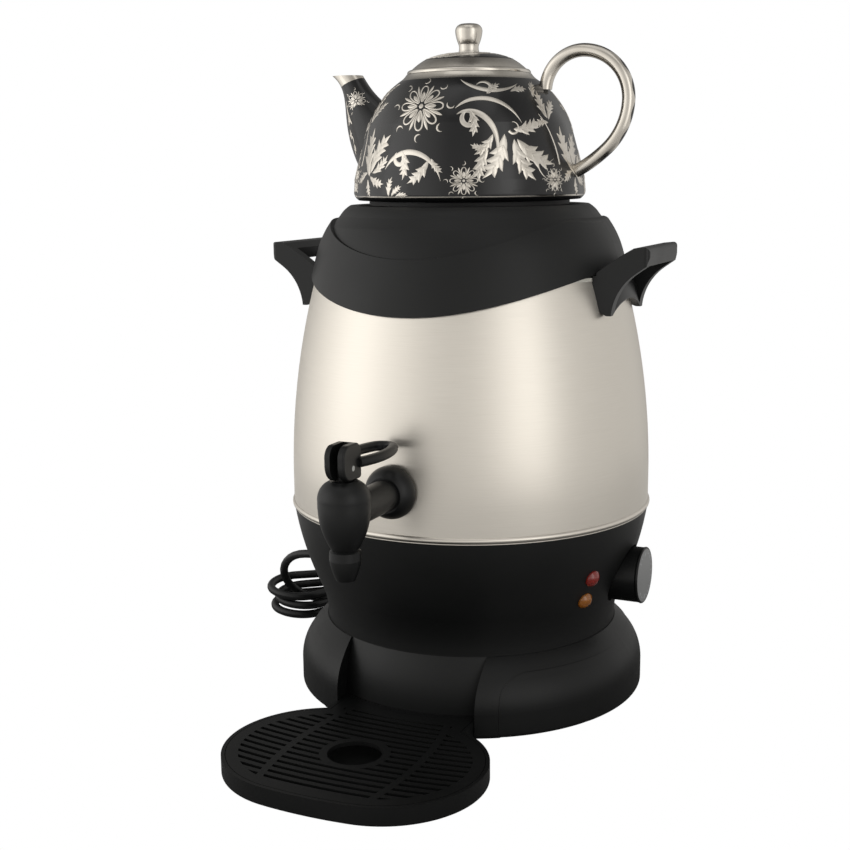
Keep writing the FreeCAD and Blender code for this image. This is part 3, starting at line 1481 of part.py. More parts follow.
def plug_pins():
    """The two round contact pins."""
    pins = []
    for side in (-1, 1):
        pin = rod(plug_pin_radius, V(0, side * plug_pin_pitch / 2, plug_length - 8),
                  V(0, side * plug_pin_pitch / 2, plug_length + plug_pin_length))
        tip = plug_length + plug_pin_length - 0.1
        pin = pin.makeFillet(1.2, [e for e in pin.Edges if e.BoundBox.ZMin > tip])
        pins.append(aimed(pin, plug_back(), V(1, 0, 0)))
    return Part.makeCompound(pins)


def hank_tie():
    """The flat strap drawn round the hank's waist."""
    gap = hank_tie_gap
    inner_half = hank_waist + cord_radius + gap
    low = hank_floor - cord_radius - gap
    high = hank_floor + hank_loops * hank_step + cord_radius + gap
    wall = hank_tie_wall
    outer = block(-hank_tie_width / 2, hank_tie_width / 2, -inner_half - wall, inner_half + wall,
                  low - wall, high + wall)
    core = block(-hank_tie_width, hank_tie_width, -inner_half, inner_half, low, high)
    outer = outer.makeFillet(2.0, [e for e in outer.Edges if e.BoundBox.XLength > hank_tie_width - 0.1])
    core = core.makeFillet(1.4, [e for e in core.Edges if e.BoundBox.XLength > hank_tie_width])
    band = outer.cut(core)
    band.Placement = FreeCAD.Placement(V(hank_centre[0], hank_centre[1], 0),
                                       FreeCAD.Rotation(V(0, 0, 1), hank_yaw))
    return band


def terminal_block():
    """The ceramic terminal block on the housing's web, where the mains cord ends."""
    z = neck_z + housing_web
    body = block(terminal_x - terminal_length / 2, terminal_x + terminal_length / 2, terminal_y,
                 terminal_y + terminal_width,
                 z, z + terminal_height)
    for k in range(3):
        x = terminal_x + (k - 1) * terminal_pitch
        body = body.cut(rod(2.4, V(x, terminal_y + 5, z + terminal_height - 5),
                            V(x, terminal_y + 5, z + 40)))
    return body


def lead(points):
    """An insulated wire along a route of runs and arcs."""
    path, radii = run_path(points)
    section = Part.Wire([Part.makeCircle(lead_radius, points[0], (points[1] - points[0]).normalize())])
    return path.makePipeShell([section], True, False)


def supply_leads():
    """Three wires from the cord's inner end to the side of the terminal block."""
    place, way = gland_axis()
    inner = place - way * gland_depth
    across = V(-way.y, way.x, 0)
    side = terminal_x - terminal_length / 2
    wires = []
    for k in (-1, 0, 1):
        start = inner + across * (k * 2.8)
        y = terminal_y + terminal_width / 2 + k * 5.0
        z = neck_z + housing_web + terminal_height / 2
        wires.append(lead([start, start - way * 8.0, V(side - 9.0, y, z), V(side, y, z)]))
    return Part.makeCompound(wires)


def heater_leads():
    """Two wires from the terminal block's screws up to the element's pins."""
    z = neck_z + housing_web + terminal_height - 5.0
    centre = element_centre()
    wires = []
    for k in (-1, 1):
        start = V(terminal_x + k * terminal_pitch, terminal_y + 5.0, z)
        pin = element_pin_place(-k)
        foot = V(pin.x, pin.y, centre.z - element_pin_length)
        wires.append(lead([start, start + V(0, 0, 17.0), foot - V(0, 0, 11.0), foot]))
    return Part.makeCompound(wires)


if __name__ == "__main__":
    os.makedirs("parts", exist_ok=True)
    save("base_skirt", base_skirt())
    save("base_plate", base_plate())
    save("rubber_feet", rubber_feet())
    save("base_screws", base_screws())
    save("lower_housing", lower_housing())
    save("tie_rods", tie_rods())
    save("tie_nuts", tie_nuts())
    save("barrel", barrel())
    save("tank_bottom", tank_bottom())
    save("heater_plate", heater_plate())
    save("heating_element", heating_element())
    save("thermal_cutout", thermal_cutout())
    save("thermostat", thermostat())
    save("thermostat_spindle", thermostat_spindle())
    save("knob", knob())
    save("knob_face", knob_face())
    for colour, height, angle in lamp_places:
        save(f"lens_{colour}", lamp_lens(height, angle))
        save(f"neon_lamp_{colour}", neon_lamp(height, angle))
    save("urn_lid", urn_lid())
    save("lid_liner", lid_liner())
    save("lid_gasket", lid_gasket())
    save("seat_ring", seat_ring())
    save("handle_right", handle(1))
    save("handle_left", handle(-1))
    save("handle_screws", handle_screws())
    save("tap_body", tap_body())
    save("tap_bonnet", tap_bonnet())
    save("tap_gaskets", tap_gaskets())
    save("tap_nut", tap_nut())
    save("tap_stem", tap_stem())
    save("tap_seat_cup", tap_seat_cup())
    save("tap_spring", tap_spring())
    save("tap_lever", tap_lever())
    save("lever_pin", lever_pin())
    save("drip_tray", drip_tray())
    save("drip_grille", drip_grille())
    save("teapot_body", teapot_body())
    save("teapot_spout", teapot_spout())
    save("teapot_handle", teapot_handle())
    save("teapot_lid", teapot_lid())
    save("cord_gland", cord_gland())
    save("power_cord_lead", cord_tube("cord lead", cord_lead_points()))
    save("cord_hank", cord_hank())
    save("power_cord_tail", cord_tube("cord tail", cord_tail_points()))
    save("hank_tie", hank_tie())
    save("plug_body", plug_body())
    save("plug_pins", plug_pins())
    save("terminal_block", terminal_block())
    save("supply_leads", supply_leads())
    save("heater_leads", heater_leads())
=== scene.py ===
import bpy
import numpy as np
from math import atan2, cos, hypot, pi, radians, sin, sqrt
from mathutils import Matrix, Vector


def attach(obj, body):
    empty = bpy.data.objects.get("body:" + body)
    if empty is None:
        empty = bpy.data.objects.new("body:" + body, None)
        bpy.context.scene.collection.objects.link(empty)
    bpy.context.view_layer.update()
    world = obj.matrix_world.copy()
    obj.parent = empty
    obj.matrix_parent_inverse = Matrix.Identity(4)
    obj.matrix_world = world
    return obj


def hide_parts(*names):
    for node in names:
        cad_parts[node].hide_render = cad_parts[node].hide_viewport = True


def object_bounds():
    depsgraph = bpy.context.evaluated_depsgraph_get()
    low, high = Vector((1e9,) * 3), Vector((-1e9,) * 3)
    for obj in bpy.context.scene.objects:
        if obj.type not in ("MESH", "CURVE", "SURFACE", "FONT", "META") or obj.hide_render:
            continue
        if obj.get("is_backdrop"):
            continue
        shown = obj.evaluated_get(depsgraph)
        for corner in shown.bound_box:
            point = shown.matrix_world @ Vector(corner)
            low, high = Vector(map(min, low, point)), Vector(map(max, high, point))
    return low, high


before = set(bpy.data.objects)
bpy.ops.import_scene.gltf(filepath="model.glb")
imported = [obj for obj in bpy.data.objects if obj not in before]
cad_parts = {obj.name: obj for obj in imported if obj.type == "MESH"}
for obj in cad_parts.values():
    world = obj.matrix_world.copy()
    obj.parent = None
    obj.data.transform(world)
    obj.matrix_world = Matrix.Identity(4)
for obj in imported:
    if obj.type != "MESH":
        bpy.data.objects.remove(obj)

scene = bpy.context.scene
cad_box = [list(corner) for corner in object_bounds()]
MM = 0.001


def linear(code):
    """A hex sRGB colour as linear RGBA."""
    values = [int(code[i:i + 2], 16) / 255 for i in (0, 2, 4)]
    return tuple(c / 12.92 if c <= 0.04045 else ((c + 0.055) / 1.055) ** 2.4 for c in values) + (1.0,)


def add(owner, kind, out, inputs, **settings):
    """Adds a shader node to a material or world, with its settings. An input takes a value or another
    node's output. Returns the node's output of the given name."""
    tree = owner.node_tree
    made = tree.nodes.new("ShaderNode" + kind)
    for key, value in settings.items():
        setattr(made, key, value)
    for key, value in inputs.items():
        if isinstance(value, bpy.types.NodeSocket):
            tree.links.new(value, made.inputs[key])
        else:
            made.inputs[key].default_value = value
    return made.outputs[out]


# Camera: the photograph's viewpoint, 25 degrees to the right of the tap and a little above the barrel's
# middle, as found by fitting the urn's edges. Lens and sensor in mm, place in metres
CAMERA_PLACE = (0.3330, -0.7832, 0.3307)
CAMERA_ROLL = radians(-0.57)
cam_data = bpy.data.cameras.new("camera")
cam_data.sensor_width = 36.0
cam_data.lens = 56.79
camera = bpy.data.objects.new("camera", cam_data)
scene.collection.objects.link(camera)
cam_heading = radians(25.0)
cam_pitch = radians(10.77)
forward = Vector((-sin(cam_heading) * cos(cam_pitch), cos(cam_heading) * cos(cam_pitch), -sin(cam_pitch)))
rightward = Vector((cos(cam_heading), sin(cam_heading), 0.0))
upward = rightward.cross(forward)
turn = Matrix((rightward, upward, -forward)).transposed().to_4x4()
camera.matrix_world = Matrix.Translation(CAMERA_PLACE) @ turn @ Matrix.Rotation(CAMERA_ROLL, 4, "Z")
scene.camera = camera


# Floor: a pale table top. The camera sees it white; to all other rays it carries painted shade close under
# the urn, a darker colour that stands for the urn's own shade on the table
FLOOR_HALF = 0.7
floor_mat = bpy.data.materials.new("floor_white_painted_shade")
floor_mat.use_nodes = True
at = add(floor_mat, "TexCoord", "Object", {})
# Painted shade: other rays meet a colour that runs from 8E8E8E within 0.25 m of the middle to F6F6F6 beyond
# 0.5 m
off = add(floor_mat, "VectorMath", "Value", {0: at}, operation="LENGTH")
painted_shade_falloff = add(floor_mat, "MapRange", "Result", {"Value": off, "From Min": 0.25, "From Max": 0.5},
                 interpolation_type="SMOOTHSTEP")
tone = add(floor_mat, "Mix", 2, {0: painted_shade_falloff, 6: linear("8E8E8E"), 7: linear("F6F6F6")}, data_type="RGBA")
matt = add(floor_mat, "BsdfDiffuse", 0, {"Color": tone})
bright = add(floor_mat, "Emission", 0, {"Color": (1, 1, 1, 1), "Strength": 1.0})
eye = add(floor_mat, "LightPath", "Is Camera Ray", {})
both = add(floor_mat, "MixShader", 0, {0: eye, 1: matt, 2: bright})
floor_mat.node_tree.links.new(both, floor_mat.node_tree.nodes["Material Output"].inputs[0])
floor_mesh = bpy.data.meshes.new("floor")
floor_mesh.from_pydata([(x * FLOOR_HALF, y * FLOOR_HALF, 0) for x, y in ((-1, -1), (1, -1), (1, 1), (-1, 1))],
                       [], [(0, 1, 2, 3)])
floor_mesh.materials.append(floor_mat)
floor = bpy.data.objects.new("floor", floor_mesh)
scene.collection.objects.link(floor)
floor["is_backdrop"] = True


# Light: a pale room with a broad bright wall to the left, a narrower one to the right, a dimmer back, a
# ceiling that fades, and three weak soft boxes. An azimuth is measured from the camera's side of the urn,
# to its right
def way_to(azimuth):
    """The level direction at an azimuth in degrees."""
    angle = cam_heading + radians(azimuth)
    return Vector((sin(angle), -cos(angle), 0.0))


world = bpy.data.worlds.new("room")
world.use_nodes = True
scene.world = world
sight = add(world, "TexCoord", "Generated", {})
level = add(world, "VectorMath", 0, {0: sight, 1: (1, 1, 0)}, operation="MULTIPLY")
level = add(world, "VectorMath", 0, {0: level}, operation="NORMALIZE")
ROOM_GLOW = 0.74
WALLS = ((-80.0, 60.0, 0.58), (32.0, 25.0, 0.72), (180.0, 45.0, -0.5))  # azimuth, half width, gain
glow = ROOM_GLOW
for azimuth, width, gain in WALLS:
    facing = add(world, "VectorMath", "Value", {0: level, 1: way_to(azimuth)}, operation="DOT_PRODUCT")
    lobe = add(world, "MapRange", "Result", {"Value": facing, "From Min": cos(radians(width)),
                                             "From Max": 1.0, "To Max": gain},
               interpolation_type="SMOOTHSTEP")
    glow = add(world, "Math", 0, {0: lobe, 1: glow}, operation="ADD")
rise = add(world, "SeparateXYZ", "Z", {0: sight})
dim = add(world, "MapRange", "Result", {"Value": rise, "From Min": 0.3, "From Max": 0.85, "To Min": 1.0,
                                        "To Max": 0.5}, interpolation_type="SMOOTHSTEP")
glow = add(world, "Math", 0, {0: glow, 1: dim}, operation="MULTIPLY")
room = add(world, "Background", 0, {"Color": (1.0, 0.985, 0.96, 1), "Strength": glow})
white = add(world, "Background", 0, {"Color": (1, 1, 1, 1), "Strength": 1.0})
eye = add(world, "LightPath", "Is Camera Ray", {})
both = add(world, "MixShader", 0, {0: eye, 1: room, 2: white})
world.node_tree.links.new(both, world.node_tree.nodes["World Output"].inputs[0])

SOFT_BOXES = (("box_left", -80, 0.55, 1.6, 0.9, 1.6, 2), ("box_right", 36, 0.70, 1.8, 0.5, 1.6, 1.2),
              ("box_top", 0, 2.2, 0.5, 1.6, 1.6, 3))
for name, azimuth, height, distance, width, tall, watts in SOFT_BOXES:
    data = bpy.data.lights.new(name, "AREA")
    data.shape = "RECTANGLE"
    data.size = width
    data.size_y = tall
    data.energy = watts
    lamp = bpy.data.objects.new(name, data)
    spot = way_to(azimuth) * distance + Vector((0, 0, height))
    lamp.location = spot
    lamp.rotation_euler = (Vector((0, 0, 0.2)) - spot).to_track_quat("-Z", "Y").to_euler()
    scene.collection.objects.link(lamp)
scene.view_settings.view_transform = "Standard"


# Cord: black PVC flex, 6 mm, from the gland down to the table, three tied loops and a tail to the plug. The
# sheath is extruded smooth, so it shows a soft line of light; one curve follows the CAD route
def surface(name, **sockets):
    """A Principled material with the given sockets. Returns it and its shader."""
    mat = bpy.data.materials.new(name)
    mat.use_nodes = True
    shader = mat.node_tree.nodes["Principled BSDF"]
    wire(mat, shader, **sockets)
    return mat, shader


def wire(mat, shader, **sockets):
    """Sets sockets of a shader: a hex colour, a number or another node's output."""
    for key, value in sockets.items():
        socket = shader.inputs[key.replace("_", " ")]
        if isinstance(value, bpy.types.NodeSocket):
            mat.node_tree.links.new(value, socket)
        else:
            socket.default_value = linear(value) if isinstance(value, str) else value


def moulded(name, dark, light, rough, grain, depth, **sockets):
    """Moulded plastic, rubber or resin: a fine grain, with slow changes of tone and gloss."""
    mat, shader = surface(name, **sockets)
    at = add(mat, "TexCoord", "Object", {})
    fine = add(mat, "TexNoise", "Fac", {"Vector": at, "Scale": grain, "Detail": 4.0, "Roughness": 0.6})
    slow = add(mat, "TexNoise", "Fac", {"Vector": at, "Scale": 18.0, "Detail": 3.0})
    tone = add(mat, "Mix", 2, {0: slow, 6: linear(dark), 7: linear(light)}, data_type="RGBA")
    gloss = add(mat, "MapRange", "Result", {"Value": slow, "From Min": 0.3, "From Max": 0.7,
                                            "To Min": rough - 0.04, "To Max": rough + 0.05})
    normal = add(mat, "Bump", "Normal", {"Height": fine, "Strength": 0.35, "Distance": depth})
    wire(mat, shader, Base_Color=tone, Roughness=gloss, Normal=normal)
    return mat


def dress(mat, *names):
    """Gives CAD nodes a material."""
    for name in names:
        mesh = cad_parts[name].data
        mesh.materials.clear()
        mesh.materials.append(mat)


# The cord's route, in mm: the hank's middle, heading, half length and waist, the lowest turn's height and
# the rise from turn to turn, and the height of the plug's axis
CORD_RADIUS = 3.0
HANK_PLACE = (-129.5, 109.5)
HANK_YAW = radians(52.0)
HANK_HALF, HANK_WAIST = 80.0, 8.0
HANK_FLOOR, HANK_STEP = 4.1, 6.9
TURN_SLIPS = ((0.0, 0.0), (2.5, -2.0), (-2.0, 2.0))  # how far each turn slips along and across
ARC_POINTS = 8
PLUG_Z = 17.55


def hank_at(u, v, z):
    """A point given along and across the hank."""
    return Vector((HANK_PLACE[0] + u * cos(HANK_YAW) - v * sin(HANK_YAW),
                   HANK_PLACE[1] + u * sin(HANK_YAW) + v * cos(HANK_YAW), z))


def hank_way(u, v, rise):
    """A unit direction given along and across the hank."""
    return (hank_at(u, v, rise) - hank_at(0, 0, 0)).normalized()


def arc_points(start, corner, end, count):
    """Points on the arc that leaves start towards corner and reaches end from it, without the end: the
    rational quadratic curve whose middle weight is the cosine of half the turn."""
    weight = (end - start).length / 2 / max((corner - start).length, 1e-9)
    points = []
    for k in range(count):
        t = k / count
        a, b, c = (1 - t) ** 2, 2 * weight * t * (1 - t), t ** 2
        points.append((start * a + corner * b + end * c) / (a + b + c))
    return points


def biarc(p0, t0, p1, t1, count):
    """Points on two arcs that join p0 to p1 with the given end directions."""
    gap = p1 - p0
    a = 2.0 * (1.0 - t0.dot(t1))
    b = 2.0 * gap.dot(t0 + t1)
    d = (-b + sqrt(b * b + 4 * a * gap.dot(gap))) / (2 * a)
    q0 = p0 + t0 * d
    q1 = p1 - t1 * d
    joint = (q0 + q1) / 2
    return arc_points(p0, q0, joint, count) + arc_points(joint, q1, p1, count)


quarters = [(hank_at(0, HANK_WAIST, HANK_FLOOR), hank_way(1, 0, 0))]
for k, (slide, lean) in enumerate(TURN_SLIPS):
    z = HANK_FLOOR + k * HANK_STEP
    quarters.append((hank_at(HANK_HALF + slide * 0.5, lean * 0.5, z), hank_way(0, -1, 0)))
    quarters.append((hank_at(0, -HANK_WAIST, z), hank_way(-1, 0, 0)))
    quarters.append((hank_at(-HANK_HALF + slide, lean, z + HANK_STEP * 0.5), hank_way(0, 1, 0.08)))
    quarters.append((hank_at(0, HANK_WAIST, z + HANK_STEP), hank_way(1, 0, 0)))
top = quarters[-1][0].z
route = [(-113.48, 28.29, 58.0), (-118.5, 29.54, 58.0), (-134.8, 33.6, 58.0), (-158.4, 37.9, 54.3),
         (-174.0, 47.1, 38.7), (-174.8, 61.0, 18.7), hank_at(-39.7, HANK_WAIST, HANK_FLOOR),
         hank_at(-6, HANK_WAIST, HANK_FLOOR)]
for (p0, t0), (p1, t1) in zip(quarters, quarters[1:]):
    route += biarc(p0, t0, p1, t1, ARC_POINTS)
route += [quarters[-1][0], hank_at(6, HANK_WAIST, top), hank_at(26, HANK_WAIST, top),
          (-97.0, 163.5, top + 0.2), (-70.0, 181.5, top - 0.6), (-45.0, 188.0, PLUG_Z),
          (-26.0, 188.0, PLUG_Z), (-20.0, 188.0, PLUG_Z)]
cord_data = bpy.data.curves.new("mains_cord", "CURVE")
cord_data.dimensions = "3D"
cord_data.bevel_depth = CORD_RADIUS * MM
cord_data.bevel_resolution = 5
cord_data.resolution_u = 4
cord_data.use_fill_caps = True
spline = cord_data.splines.new("NURBS")
spline.points.add(len(route) - 1)
for point, spot in zip(spline.points, route):
    point.co = (spot[0] * MM, spot[1] * MM, spot[2] * MM, 1.0)
spline.order_u = 3
spline.use_endpoint_u = True
cord = bpy.data.objects.new("mains_cord", cord_data)
scene.collection.objects.link(cord)
cord_sheath = moulded("cord_sheath_pvc", "131415", "191A1B", 0.42, 900.0, 0.00006, Specular_IOR_Level=0.4)
cord_data.materials.append(cord_sheath)
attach(cord, "stand")
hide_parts("power_cord_lead", "cord_hank", "power_cord_tail")

# Gland, plug and tie: the gland and plug are moulded of the same PVC, duller than the sheath for their fine
# grain; the tie is a woven strap, the dullest of the three
dress(moulded("plug_pvc", "151617", "1C1D1E", 0.5, 1100.0, 0.00008), "cord_gland", "plug_body")
dress(moulded("tie_strap", "0E0F10", "17181A", 0.6, 420.0, 0.00015), "hank_tie")


# Base: skirt, bottom plate and bowl moulded in black ABS, which a fine spark texture makes satin. The rubber
# feet are quite dull. The plate is held by zinc-plated screws, bluish and half bright
black_abs = moulded("black_abs_spark", "0A0B0B", "101111", 0.44, 1500.0, 0.00009, Specular_IOR_Level=0.30)
foot_rubber = moulded("foot_rubber", "101010", "1B1B1A", 0.72, 700.0, 0.0001)


def plated(name, dark, light, rough, scale, stretch=(1, 1, 1)):
    """Metal: tone and gloss vary along fine marks. stretch draws the marks out across the longer factor."""
    mat, shader = surface(name, Metallic=1.0)
    at = add(mat, "TexCoord", "Object", {})
    at = add(mat, "Mapping", "Vector", {"Vector": at, "Scale": stretch})
    marks = add(mat, "TexNoise", "Fac", {"Vector": at, "Scale": scale, "Detail": 4.0, "Roughness": 0.65})
    tone = add(mat, "Mix", 2, {0: marks, 6: linear(dark), 7: linear(light)}, data_type="RGBA")
    gloss = add(mat, "MapRange", "Result", {"Value": marks, "From Min": 0.3, "From Max": 0.7,
                                            "To Min": rough - 0.06, "To Max": rough + 0.08})
    normal = add(mat, "Bump", "Normal", {"Height": marks, "Strength": 0.12, "Distance": 0.00003})
    wire(mat, shader, Base_Color=tone, Roughness=gloss, Normal=normal)
    return mat


zinc = plated("zinc_plated_steel", "9DA0A3", "C9CCCE", 0.34, 240.0)
dress(black_abs, "base_skirt", "base_plate", "lower_housing")
dress(foot_rubber, "rubber_feet")
dress(zinc, "base_screws")

# Barrel: stainless steel brushed round its axis, so that highlights stand as soft upright bands. Real brush
# marks are 0.05 mm apart; these are drawn about 0.3 mm apart to show
barrel_steel, steel = surface("brushed_stainless", Metallic=1.0, Anisotropic=0.55)
at = add(barrel_steel, "TexCoord", "Object", {})
at = add(barrel_steel, "Mapping", "Vector", {"Vector": at, "Scale": (1, 1, 60)})
brush = add(barrel_steel, "TexNoise", "Fac", {"Vector": at, "Scale": 55.0, "Detail": 5.0, "Roughness": 0.7})
tone = add(barrel_steel, "Mix", 2, {0: brush, 6: linear("CFC9BF"), 7: linear("E0DBD2")}, data_type="RGBA")
gloss = add(barrel_steel, "MapRange", "Result", {"Value": brush, "From Min": 0.3, "From Max": 0.7,
                                                 "To Min": 0.30, "To Max": 0.40})
normal = add(barrel_steel, "Bump", "Normal", {"Height": brush, "Strength": 0.10, "Distance": 0.00003})
round_axis = add(barrel_steel, "Tangent", 0, {}, direction_type="RADIAL", axis="Z")
wire(barrel_steel, steel, Base_Color=tone, Roughness=gloss, Normal=normal, Tangent=round_axis)
dress(barrel_steel, "barrel")

# Inside the tank and bowl: a drawn steel pan, bright with faint upright marks, on a grey cast aluminium
# plate; a heating element browned by heat; a brown phenolic cut-out; zinc-plated rods and nuts; a glossy
# glazed ceramic terminal block; and leads in brown PVC
pan_steel = plated("drawn_steel", "AFB0B0", "CDCECE", 0.28, 90.0, (1, 1, 6))
cast_alloy = plated("cast_aluminium", "9C9D9F", "C3C4C6", 0.5, 420.0)
sheath_steel = plated("element_sheath", "55504A", "7E776E", 0.46, 160.0)
phenolic = moulded("phenolic", "2B1810", "3D251A", 0.35, 500.0, 0.00005)
ceramic = moulded("glazed_ceramic", "DDD9CF", "EDEAE3", 0.18, 160.0, 0.00003, Coat_Weight=0.4)
lead_pvc = moulded("lead_insulation", "4A2F1C", "5E3D26", 0.42, 900.0, 0.00004)
dress(pan_steel, "tank_bottom", "lid_liner")
dress(cast_alloy, "heater_plate")
dress(sheath_steel, "heating_element")
dress(phenolic, "thermal_cutout", "thermostat")
dress(zinc, "tie_rods", "tie_nuts", "thermostat_spindle")
dress(ceramic, "terminal_block")
dress(lead_pvc, "supply_leads", "heater_leads")

# Cap: a black ABS moulding like the base, on a milky silicone seal that lets a little light in, with a dull
# black silicone ring that the pot stands on
silicone = moulded("milky_silicone", "BDBBB2", "D2D0C8", 0.42, 600.0, 0.00004, Subsurface_Weight=0.2,
                   Subsurface_Radius=(0.002, 0.002, 0.002))
black_silicone = moulded("black_silicone", "0D0D0D", "161616", 0.55, 700.0, 0.00005)
dress(black_abs, "urn_lid")
dress(silicone, "lid_gasket")
dress(black_silicone, "seat_ring")

# Handles: black phenolic mouldings, smoother than the base's ABS but satin still, held by two zinc-plated
# screws each
handle_black = moulded("handle_phenolic", "0A0B0B", "101111", 0.38, 1300.0, 0.00005, Specular_IOR_Level=0.3)
dress(handle_black, "handle_left", "handle_right")
dress(zinc, "handle_screws")

# Tap: body, bonnet, stem and lever are satin black nylon. Its seals are milky silicone, its nut is turned
# brass with fine yellow marks, and its spring and pin are zinc-plated steel
tap_black = moulded("tap_nylon", "0A0B0B", "101111", 0.38, 1300.0, 0.00006, Specular_IOR_Level=0.3)
brass = plated("turned_brass", "A8853F", "CDAA5E", 0.3, 300.0)
dress(tap_black, "tap_body", "tap_bonnet", "tap_lever", "tap_stem")
dress(silicone, "tap_gaskets", "tap_seat_cup")
dress(brass, "tap_nut")
dress(zinc, "tap_spring", "lever_pin")

# Drip tray and its grille: black ABS like the base. The tray's tongue slides under the base and the grille
# lies loose in it
tray_black = moulded("tray_abs", "0A0B0B", "101111", 0.44, 1200.0, 0.00008, Specular_IOR_Level=0.28)
dress(tray_black, "drip_tray", "drip_grille")

# Knob: a satin black ABS moulding with a mid-grey disc let into its front, pushed on the thermostat's
# spindle. Lengths in mm: the height of the axis, and how far out the disc's face is
dress(moulded("knob_abs", "090A0A", "0F1010", 0.38, 1200.0, 0.00005, Specular_IOR_Level=0.25), "knob")
dress(moulded("knob_disc", "7E7F80", "888989", 0.34, 900.0, 0.00004), "knob_face")
KNOB_Z, KNOB_FRONT = 82.0, 117.5

# Knob's scale: 19 short ticks round the disc, one a little longer every third, printed in flat white ink over
# the 270 degrees that the knob turns. Lengths in mm
TICKS, TICK_FIRST, TICK_STEP = 19, -45.0, 15.0
TICK_OUTER, TICK_INNER, TICK_INNER_LONG = 14.6, 13.4, 12.4
TICK_HALF, INK_LIFT = 0.28, 0.08
white_ink = moulded("white_ink", "C9CED2", "D9DDDF", 0.5, 800.0, 0.00001)
tick_parts = []
for k in range(TICKS):
    angle = radians(TICK_FIRST + k * TICK_STEP)
    for radius in (TICK_INNER if k % 3 else TICK_INNER_LONG, TICK_OUTER):
        for side in (-TICK_HALF, TICK_HALF):
            tick_parts.append((KNOB_FRONT + INK_LIFT, cos(angle) * side + sin(angle) * radius,
                               KNOB_Z - sin(angle) * side + cos(angle) * radius))
ticks = bpy.data.meshes.new("knob_scale")
ticks.from_pydata((np.array(tick_parts) * MM).tolist(), [],
                  [(i, i + 2, i + 3, i + 1) for i in range(0, len(tick_parts), 4)])
ticks.materials.append(white_ink)
scale_marks = bpy.data.objects.new("knob_scale", ticks)
scene.collection.objects.link(scale_marks)
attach(scale_marks, "knob")

# Lamps: domed lenses of red and amber acrylic, glossy and a little see-through, pressed into the bowl, with
# small neon lamps of clear glass behind them
for colour, dark, light in (("red", "7A1B14", "9C2A20"), ("amber", "8A4E14", "B26E22")):
    lens, lens_shader = surface(f"{colour}_acrylic", Roughness=0.12, Coat_Weight=0.5, IOR=1.49,
                                Transmission_Weight=0.25)
    at = add(lens, "TexCoord", "Object", {})
    haze = add(lens, "TexNoise", "Fac", {"Vector": at, "Scale": 260.0, "Detail": 2.0})
    tone = add(lens, "Mix", 2, {0: haze, 6: linear(dark), 7: linear(light)}, data_type="RGBA")
    wire(lens, lens_shader, Base_Color=tone)
    dress(lens, f"lens_{colour}")
lamp_glass = moulded("lamp_glass", "C9CBC8", "DEE0DD", 0.1, 200.0, 0.00001, Transmission_Weight=0.8)
dress(lamp_glass, "neon_lamp_red", "neon_lamp_amber")

# Plug pins: brass rod under a warm, bright coat of nickel, with marks along the way it was drawn
dress(plated("nickelled_brass", "B9AE90", "DCD4BE", 0.24, 160.0, (0.2, 1, 1)), "plug_pins")

# Teapot: black-glazed porcelain with silver lustre on the handle, the spout's tip, the shoulder and the
# lid's rim. Lustre is a thin fired metal film: warm, bright, a little cloudy where it wears. Lengths in mm
POT_Z = 312.5
FOOT_LINE, SHOULDER = (2.2, 3.0), 71.4
TIP_SLOPE, TIP_EDGE = -0.41, 106.2
LOOP_MIDDLE, LOOP_INNER = (-73.0, -57.0, 0), 29.4
LOZENGES, LOZENGE_HALF, LOZENGE_GAP = 7.0, 2.6, -0.4
DOME_BLACK, LID_UNDERSIDE = (10.5, 28.4), 75.4


def above(mat, value, limit):
    """1 where a value is over a limit."""
    return add(mat, "Math", 0, {0: value, 1: limit}, operation="GREATER_THAN")


def mask_of(mat, operation, one, other):
    """Two masks joined: MAXIMUM for either, MULTIPLY for both."""
    return add(mat, "Math", 0, {0: one, 1: other}, operation=operation)


def pot_glaze(name, silver_where):
    """Black glaze that turns to silver lustre where silver_where(material, x, y, z, reach) is 1. Lengths in
    mm, z over the pot's foot, reach from the barrel's axis."""
    mat, shader = surface(name, Coat_Weight=0.1, Specular_IOR_Level=0.42)
    at = add(mat, "TexCoord", "Object", {})
    scaled = add(mat, "VectorMath", 0, {0: at, 1: (1000, 1000, 1000)}, operation="MULTIPLY")
    moved = add(mat, "VectorMath", 0, {0: scaled, 1: (0, 0, -POT_Z)}, operation="ADD")
    x, y, z = (add(mat, "SeparateXYZ", axis, {0: moved}) for axis in "XYZ")
    flat = add(mat, "VectorMath", 0, {0: moved, 1: (1, 1, 0)}, operation="MULTIPLY")
    reach = add(mat, "VectorMath", "Value", {0: flat}, operation="LENGTH")
    silver = silver_where(mat, x, y, z, reach)
    cloud = add(mat, "TexNoise", "Fac", {"Vector": at, "Scale": 90.0, "Detail": 4.0})
    lustre = add(mat, "Mix", 2, {0: cloud, 6: linear("BDB6AB"), 7: linear("DCD7CE")}, data_type="RGBA")
    tone = add(mat, "Mix", 2, {0: silver, 6: linear("0B0B0C"), 7: lustre}, data_type="RGBA")
    worn = add(mat, "MapRange", "Result", {"Value": cloud, "From Min": 0.3, "From Max": 0.7, "To Min": 0.14,
                                           "To Max": 0.26})
    swell = add(mat, "TexNoise", "Fac", {"Vector": at, "Scale": 45.0, "Detail": 2.0})
    normal = add(mat, "Bump", "Normal", {"Height": swell, "Strength": 0.12, "Distance": 0.0002})
    wire(mat, shader, Base_Color=tone, Metallic=silver, Roughness=worn, Normal=normal)
    return mat


def body_silver(mat, x, y, z, reach):
    """The band over the shoulder and a thin line over the foot."""
    line = mask_of(mat, "MULTIPLY", above(mat, z, FOOT_LINE[0]),
                   add(mat, "Math", 0, {0: z, 1: FOOT_LINE[1]}, operation="LESS_THAN"))
    return mask_of(mat, "MAXIMUM", above(mat, z, SHOULDER), line)


def spout_silver(mat, x, y, z, reach):
    """The tip above a slanting edge that climbs towards the pot."""
    slant = add(mat, "Math", 0, {0: x, 1: TIP_SLOPE, 2: z}, operation="MULTIPLY_ADD")
    return above(mat, slant, TIP_EDGE)


